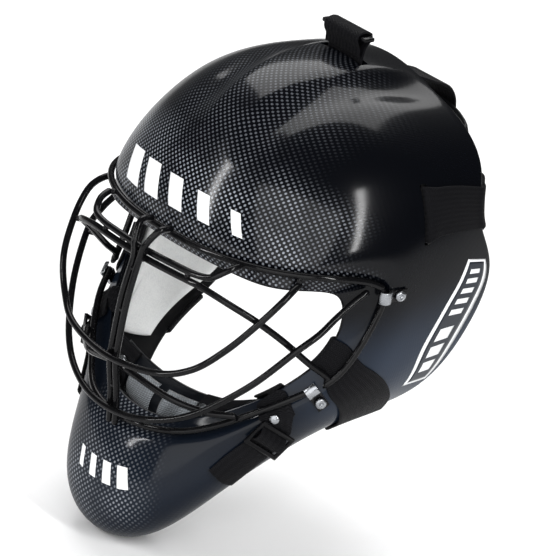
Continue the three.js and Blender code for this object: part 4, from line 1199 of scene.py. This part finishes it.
def cup_frame(s, t):
    seat = cup_surface(s, t, 0)[0, 0]
    out = unit(cup_surface(s, t, -1)[0, 0] - seat)
    x = np.array([1.0, 0, 0])
    return Frame(x, np.cross(out, x), out, seat)


def cup_layer(name, columns, rows, near, far, material, edge=0.05, swell=0.0):
    """A layer of the cup between two depths, with rounded edges; swell lifts the middle of its far face."""
    a, b = np.meshgrid(np.linspace(0, 1, len(columns)), np.linspace(0, 1, len(rows)), indexing="ij")
    full = round_over(a, edge) * round_over(b, edge)
    middle, half = (near + far) / 2, (far - near) / 2
    front = cup_surface(columns, rows, middle - half * full)
    back = cup_surface(columns, rows, middle + half * full + dome(a, b, swell))
    return two_faces(name, front, back, material)


def chin_cup():
    thickness = CUP_SHAPE["thickness"]
    columns, rows = np.linspace(-1, 1, 65), np.linspace(0, 1, 49)
    cup = cup_layer("sling_cup", columns, rows, 0, thickness, CUP_PLASTIC, 0.025)
    settle(cup, CUP, "cup_plastic", "chin_cup")
    panel_rows = np.linspace(0.13, 0.42, 17)
    for name, side in (("left", 1), ("right", -1)):
        columns = side * np.linspace(0.08, 0.62, 25)
        panel = cup_layer(f"cup_face_panel_{name}", columns, panel_rows, -1.0, -0.15, PANEL_CLOTH, 0.12)
        settle(panel, CUP, "lining_fabric")
    near = thickness + CUP_SHAPE["pad_gap"] + 0.6
    pad_rows = np.linspace(0.04, 0.93, 33)
    for name, low, high in (("left", 0.1, 0.6), ("right", -0.6, -0.1)):
        columns = np.linspace(low, high, 21)
        cushion = cup_layer(f"cup_cushion_{name}", columns, pad_rows, near, near + 5.6, CUP_LINING, 0.16, 1.0)
        inflate(cushion, 1.4)
        settle(cushion, CUP, "lining_fabric", "chin_cup_pad")
    columns, rows = np.linspace(-0.11, 0.11, 13), np.linspace(0.02, 0.95, 41)
    strip = cup_layer("cup_centre_strip", columns, rows, near, near + 3, LINING, 0.1)
    settle(strip, CUP, "lining_fabric")
    rivet_pair("cup_front_rivet", cup_frame(*CUP_RIVET), over_strap(CUP_STRAP_LIFT) + 1.3, thickness + 2, CUP)


# ---- chin straps ----
FRONT_PLACES = [(7.9, 6.95), (7.94, 5.9), (8.04, 4.8), (8.18, 3.85), (8.55, 3.1), (9, 2.5)]
OPENING_TURN = (7.6, 8.16)
JAW_RIVET = (8.03, 4.84)
SMALL_HEAD = 3
BUCKLE = {"at": 29, "length": 19, "bar": 3, "middle_bar": 4, "thickness": 2, "height": 2.7}


class ShellPath:
    """A path over the shell through (u, v) places, measured in millimetres from its first place."""

    def __init__(self, places):
        share = np.linspace(0, 1, 25)[:-1]
        samples = [between(a, b, share) for a, b in zip(places, places[1:])]
        self.samples = np.concatenate([*samples, [places[-1]]])
        self.reached = distances(offset_skin(*self.samples.T, 0))
        self.length = self.reached[-1]

    def at(self, distance):
        return read_at(distance, self.reached, self.samples)

    def point(self, distance, lift=0.0):
        return offset_skin(*self.at(distance), -lift)


FRONT_PATH = ShellPath(FRONT_PLACES)


def square_station(path, distance, width, lift):
    """A station square to the path, following the shell across the strap."""
    u, v = path.at(distance)
    step = 0.02
    along = np.stack(slopes(u, v, step), axis=1) / (2 * step)
    ahead = path.point(min(path.length, distance + 1.5)) - path.point(max(0, distance - 1.5))
    side = unit(np.cross(surface_normal(u, v), ahead))
    share = np.linalg.lstsq(along, side, rcond=None)[0]
    off = (ACROSS - 0.5) * width
    us, vs = u + share[0] * off, v + share[1] * off
    return offset_skin(us, vs, -lift), surface_normal(us, vs)


def buckle_frame(lift):
    ahead = FRONT_PATH.point(BUCKLE["at"] + 2) - FRONT_PATH.point(BUCKLE["at"] - 2)
    return frame_on(*FRONT_PATH.at(BUCKLE["at"]), lift, ahead)


def buckle_station(x):
    """The strap lies under the end bars of the buckle and rises over its middle bar."""
    low = abs(x) > BUCKLE["middle_bar"] / 2 + 0.5
    place = buckle_frame(WEBBING_LIFT if low else BUCKLE["height"] + BUCKLE["thickness"] + 0.5)
    points = np.stack(np.broadcast_arrays(x, (ACROSS - 0.5) * CHIN_WEBBING_WIDTH, 0.0), axis=-1)
    return place.at(points), np.tile(place.axes[2], (len(ACROSS), 1))


def cup_station(s, t):
    """A station on the outside of the cup; s and t are numbers or arrays across the strap."""
    s, t = np.broadcast_arrays(s, t, ACROSS)[:2]
    lower = [cup_surface(a, b, -CUP_STRAP_LIFT - WEBBING_THICKNESS)[0, 0] for a, b in zip(s, t)]
    seat = [cup_surface(a, b, 0)[0, 0] for a, b in zip(s, t)]
    return np.array(lower), unit(np.array(seat) - np.array(lower))


def front_strap_piece():
    """From the cup over the edge of the face opening, down the jaw, through the buckle and on to its tail."""
    inner = BUCKLE["middle_bar"] / 2 + 0.4
    outer = BUCKLE["length"] / 2 - BUCKLE["bar"] - 0.3
    past, end = BUCKLE["at"] + 15, FRONT_PATH.length
    lifts = [(3, 0.7), *((d, 0.4) for d in (5.5, 8, 10.5, 13, 15.5, past, (past + end) / 2, end))]
    flat = [square_station(FRONT_PATH, d, CHIN_WEBBING_WIDTH, WEBBING_LIFT + lift) for d, lift in lifts]
    cup = [cup_station(s, 0.03 + 0.39 * ACROSS) for s in (0.66, 0.8, 0.93, 1.07)]
    edge = round_edge(*OPENING_TURN, LAST_ROW, (160, 120, 85, 50))
    through = [buckle_station(x) for x in (-outer - 2, -outer, -inner, inner, outer, outer + 2)]
    return strap("chin_webbing_front_left", [*cup, *edge, *flat[:6], *through, *flat[6:]], WEBBING)


WRAP_TOP = (5.75, 6.8)
WRAP_LOW = (7.4, 8)


def jaw_wrap_piece():
    outside = []
    for t in (0.9, 0.78, 0.66, 0.54, 0.42, 0.3, 0.18, 0.07):
        low, high = between(WRAP_LOW, WRAP_TOP, t)
        outside.append(on_shell((low, t * LAST_ROW), (high, t * LAST_ROW), WEBBING_LIFT + 0.15))
    top = round_edge(*WRAP_TOP, LAST_ROW, (170, 130, 90, 45))
    low = round_edge(*WRAP_LOW, 0, (20, 60, 100, 140, 170))
    return strap("jaw_wrap_left_band", [*top, *outside, *low], WEBBING)


def chin_straps():
    edge = round_edge(*OPENING_TURN, LAST_ROW, (120,))[0][0][len(ACROSS) // 2] * MM
    wing = cup_surface(0.9, 0.2, 0)[0, 0] * MM
    for side, obj in both(front_strap_piece()):
        bend(obj, f"chin_front_strap_{side}")
    for side, obj in both(jaw_wrap_piece()):
        settle(obj, SHELL, "webbing", f"jaw_wrap_{side}")
    seat = frame_on(*JAW_RIVET, 0, (0, 0, -1))
    rivet_pair("jaw_rivet", seat, over_strap(WEBBING_LIFT) + 0.8, SHELL_THICKNESS + 1.4, SHELL, SMALL_HEAD)
    for side in ("left", "right"):
        buckle = refined_copy(f"chin_buckle_{side}", BLACK_PLASTIC, 0.6, 3)
        settle(buckle, SHELL, "black_hardware", f"chin_buckle_{side}")


# ---- plain printed films on the shell ----
SIDE_STRIP_FRONT = [(4.62, 0.95), (4.94, 1.32), (5.42, 1.75), (6.12, 1.85), (6.92, 1.12)]
SIDE_STRIP_REAR = [(4.8, 0.14), (5.1, 0.12), (5.58, 0.24), (6.2, 0.26), (6.78, 0.12)]
# Where each bar of the side strip starts and ends, as shares of the strip's length.
STRIP_BARS = [(0.09, 0.13), (0.17, 0.21), (0.25, 0.29), (0.33, 0.37), (0.41, 0.45),
              (0.54, 0.63), (0.67, 0.76), (0.8, 0.89)]


def along_edge(places, share):
    rows = smooth_rows(np.array(places, float), 0.04)
    return read_at(np.asarray(share) * (len(rows) - 1), np.arange(len(rows)), rows)


def film(name, edges, lift, ink, length=(0, 1), width=(0, 1)):
    """A thin printed film between two edges of (u, v) places; length and width say which share of it."""
    a, b = np.meshgrid(np.linspace(0, 1, 61), np.linspace(0, 1, 13), indexing="ij")
    share = length[0] + (length[1] - length[0]) * a[:, 0]
    near, far = (along_edge(edge, share)[:, None] for edge in edges)
    across = (width[0] + (width[1] - width[0]) * b)[..., None]
    u, v = np.moveaxis(near * (1 - across) + far * across, -1, 0)
    full = round_over(a, 0.02) * round_over(b, 0.04)
    outer, inner = (offset_skin(u, v, -lift - 0.1 - side * 0.1 * full) for side in (1, -1))
    settle(two_faces(name, outer, inner, ink), SHELL, "carbon_shell")


def slanted_bars(name, places, v, slant):
    """Upright bars side by side; each place gives a bar's middle, half width and half height."""
    for i, (middle, wide, high) in enumerate(places):
        edges = [[(u - slant, v - high), (u + slant, v + high)] for u in (middle - wide, middle + wide)]
        film(f"{name}_{i + 1}", edges, 0.05, WHITE_INK)


def films():
    for side, flip in (("left", 1), ("right", -1)):
        edges = [[(flip * u, v) for u, v in edge] for edge in (SIDE_STRIP_FRONT, SIDE_STRIP_REAR)]
        film(f"side_strip_{side}", edges, 0.05, WHITE_INK)
        film(f"side_strip_window_{side}", edges, 0.2, NAVY_INK, (0.025, 0.975), (0.13, 0.87))
        for i, length in enumerate(STRIP_BARS):
            film(f"side_strip_bar_{side}_{i + 1}", edges, 0.35, WHITE_INK, length, (0.3, 0.7))
    brow = [(-1.3 + 0.62 * i, 0.23 - 0.035 * i, 0.34 - 0.03 * i) for i in range(5)]
    chin = [(10.45 + 0.34 * i, 0.11 - 0.016 * i, 0.3 - 0.02 * i) for i in range(4)]
    slanted_bars("brow_bar", brow, 4.5, 0.1)
    slanted_bars("chin_bar", chin, 3.75, 0.06)


# ---- stage, light and camera, in metres ----
RIGHT = Vector((0.651, 0.741, 0.162))
UP = Vector((-0.378, 0.132, 0.916))
TOWARD = Vector((0.658, -0.658, 0.3665))
AIM_RIGHT, AIM_UP = -0.029, -0.0278
VIEW_WIDTH = 0.343
CAMERA_DISTANCE = 4.0
FLOOR_HALF = 9.0
FLOOR_GAP = 0.002
SKY_STRENGTH = 0.12
# Each light's place, what it points at, its size in metres and its power.
LIGHTS = {"overhead_box": ((-1.0, 0.8, 2.0), (0, 0, 0.05), (2.0, 2.0), 66),
          "right_strip": ((1.3, -0.2, 0.75), (0, -0.03, 0.05), (0.1, 1.1), 14),
          "front_strip": ((-0.5, -1.4, 0.6), (0, -0.05, 0), (0.1, 1.0), 12),
          "opening_fill": ((1.3, -1.7, 0.7), (0, -0.05, -0.05), (2.2, 2.2), 42)}


def pale_floor():
    mesh = bpy.data.meshes.new("studio_floor")
    height = cad_box[0][2] - FLOOR_GAP
    corners = [(x * FLOOR_HALF, y * FLOOR_HALF, height) for x, y in ((-1, -1), (1, -1), (1, 1), (-1, 1))]
    mesh.from_pydata(corners, [], [(0, 1, 2, 3)])
    g = Graph("pale_backdrop", (0.9, 0.9, 0.9), 0.9, Specular_IOR_Level=0.05)
    g.color(g.mix(g.noise(4), (0.88, 0.88, 0.885), (0.92, 0.92, 0.92)))
    mesh.materials.append(g.material)
    linked("studio_floor", mesh)


def area_light(name, place, target, size, power):
    light = bpy.data.lights.new(name, "AREA")
    light.shape = "RECTANGLE"
    light.size, light.size_y = size
    light.energy = power
    obj = linked(name, light)
    obj.location = place
    obj.rotation_euler = (Vector(target) - Vector(place)).to_track_quat("-Z", "Y").to_euler()


def studio():
    world = bpy.data.worlds.new("studio")
    world.use_nodes = True
    sky = world.node_tree.nodes["Background"]
    sky.inputs["Color"].default_value = (1, 1, 1, 1)
    sky.inputs["Strength"].default_value = SKY_STRENGTH
    bpy.context.scene.world = world
    bpy.context.scene.view_settings.view_transform = "Standard"
    for name, settings in LIGHTS.items():
        area_light(name, *settings)


def main_camera():
    data = bpy.data.cameras.new("camera")
    data.lens = data.sensor_width * CAMERA_DISTANCE / VIEW_WIDTH
    obj = linked("camera", data)
    aim = RIGHT * AIM_RIGHT + UP * AIM_UP
    turn = Matrix((RIGHT.normalized(), UP.normalized(), TOWARD.normalized())).transposed()
    obj.matrix_world = Matrix.Translation(aim + TOWARD.normalized() * CAMERA_DISTANCE) @ turn.to_4x4()
    bpy.context.scene.camera = obj


main_camera()
shell_piece()
liner()
cage()
cage_fixings()
back_plate()
plate_pad()
plate_straps()
chin_cup()
chin_straps()
films()
pale_floor()
studio()
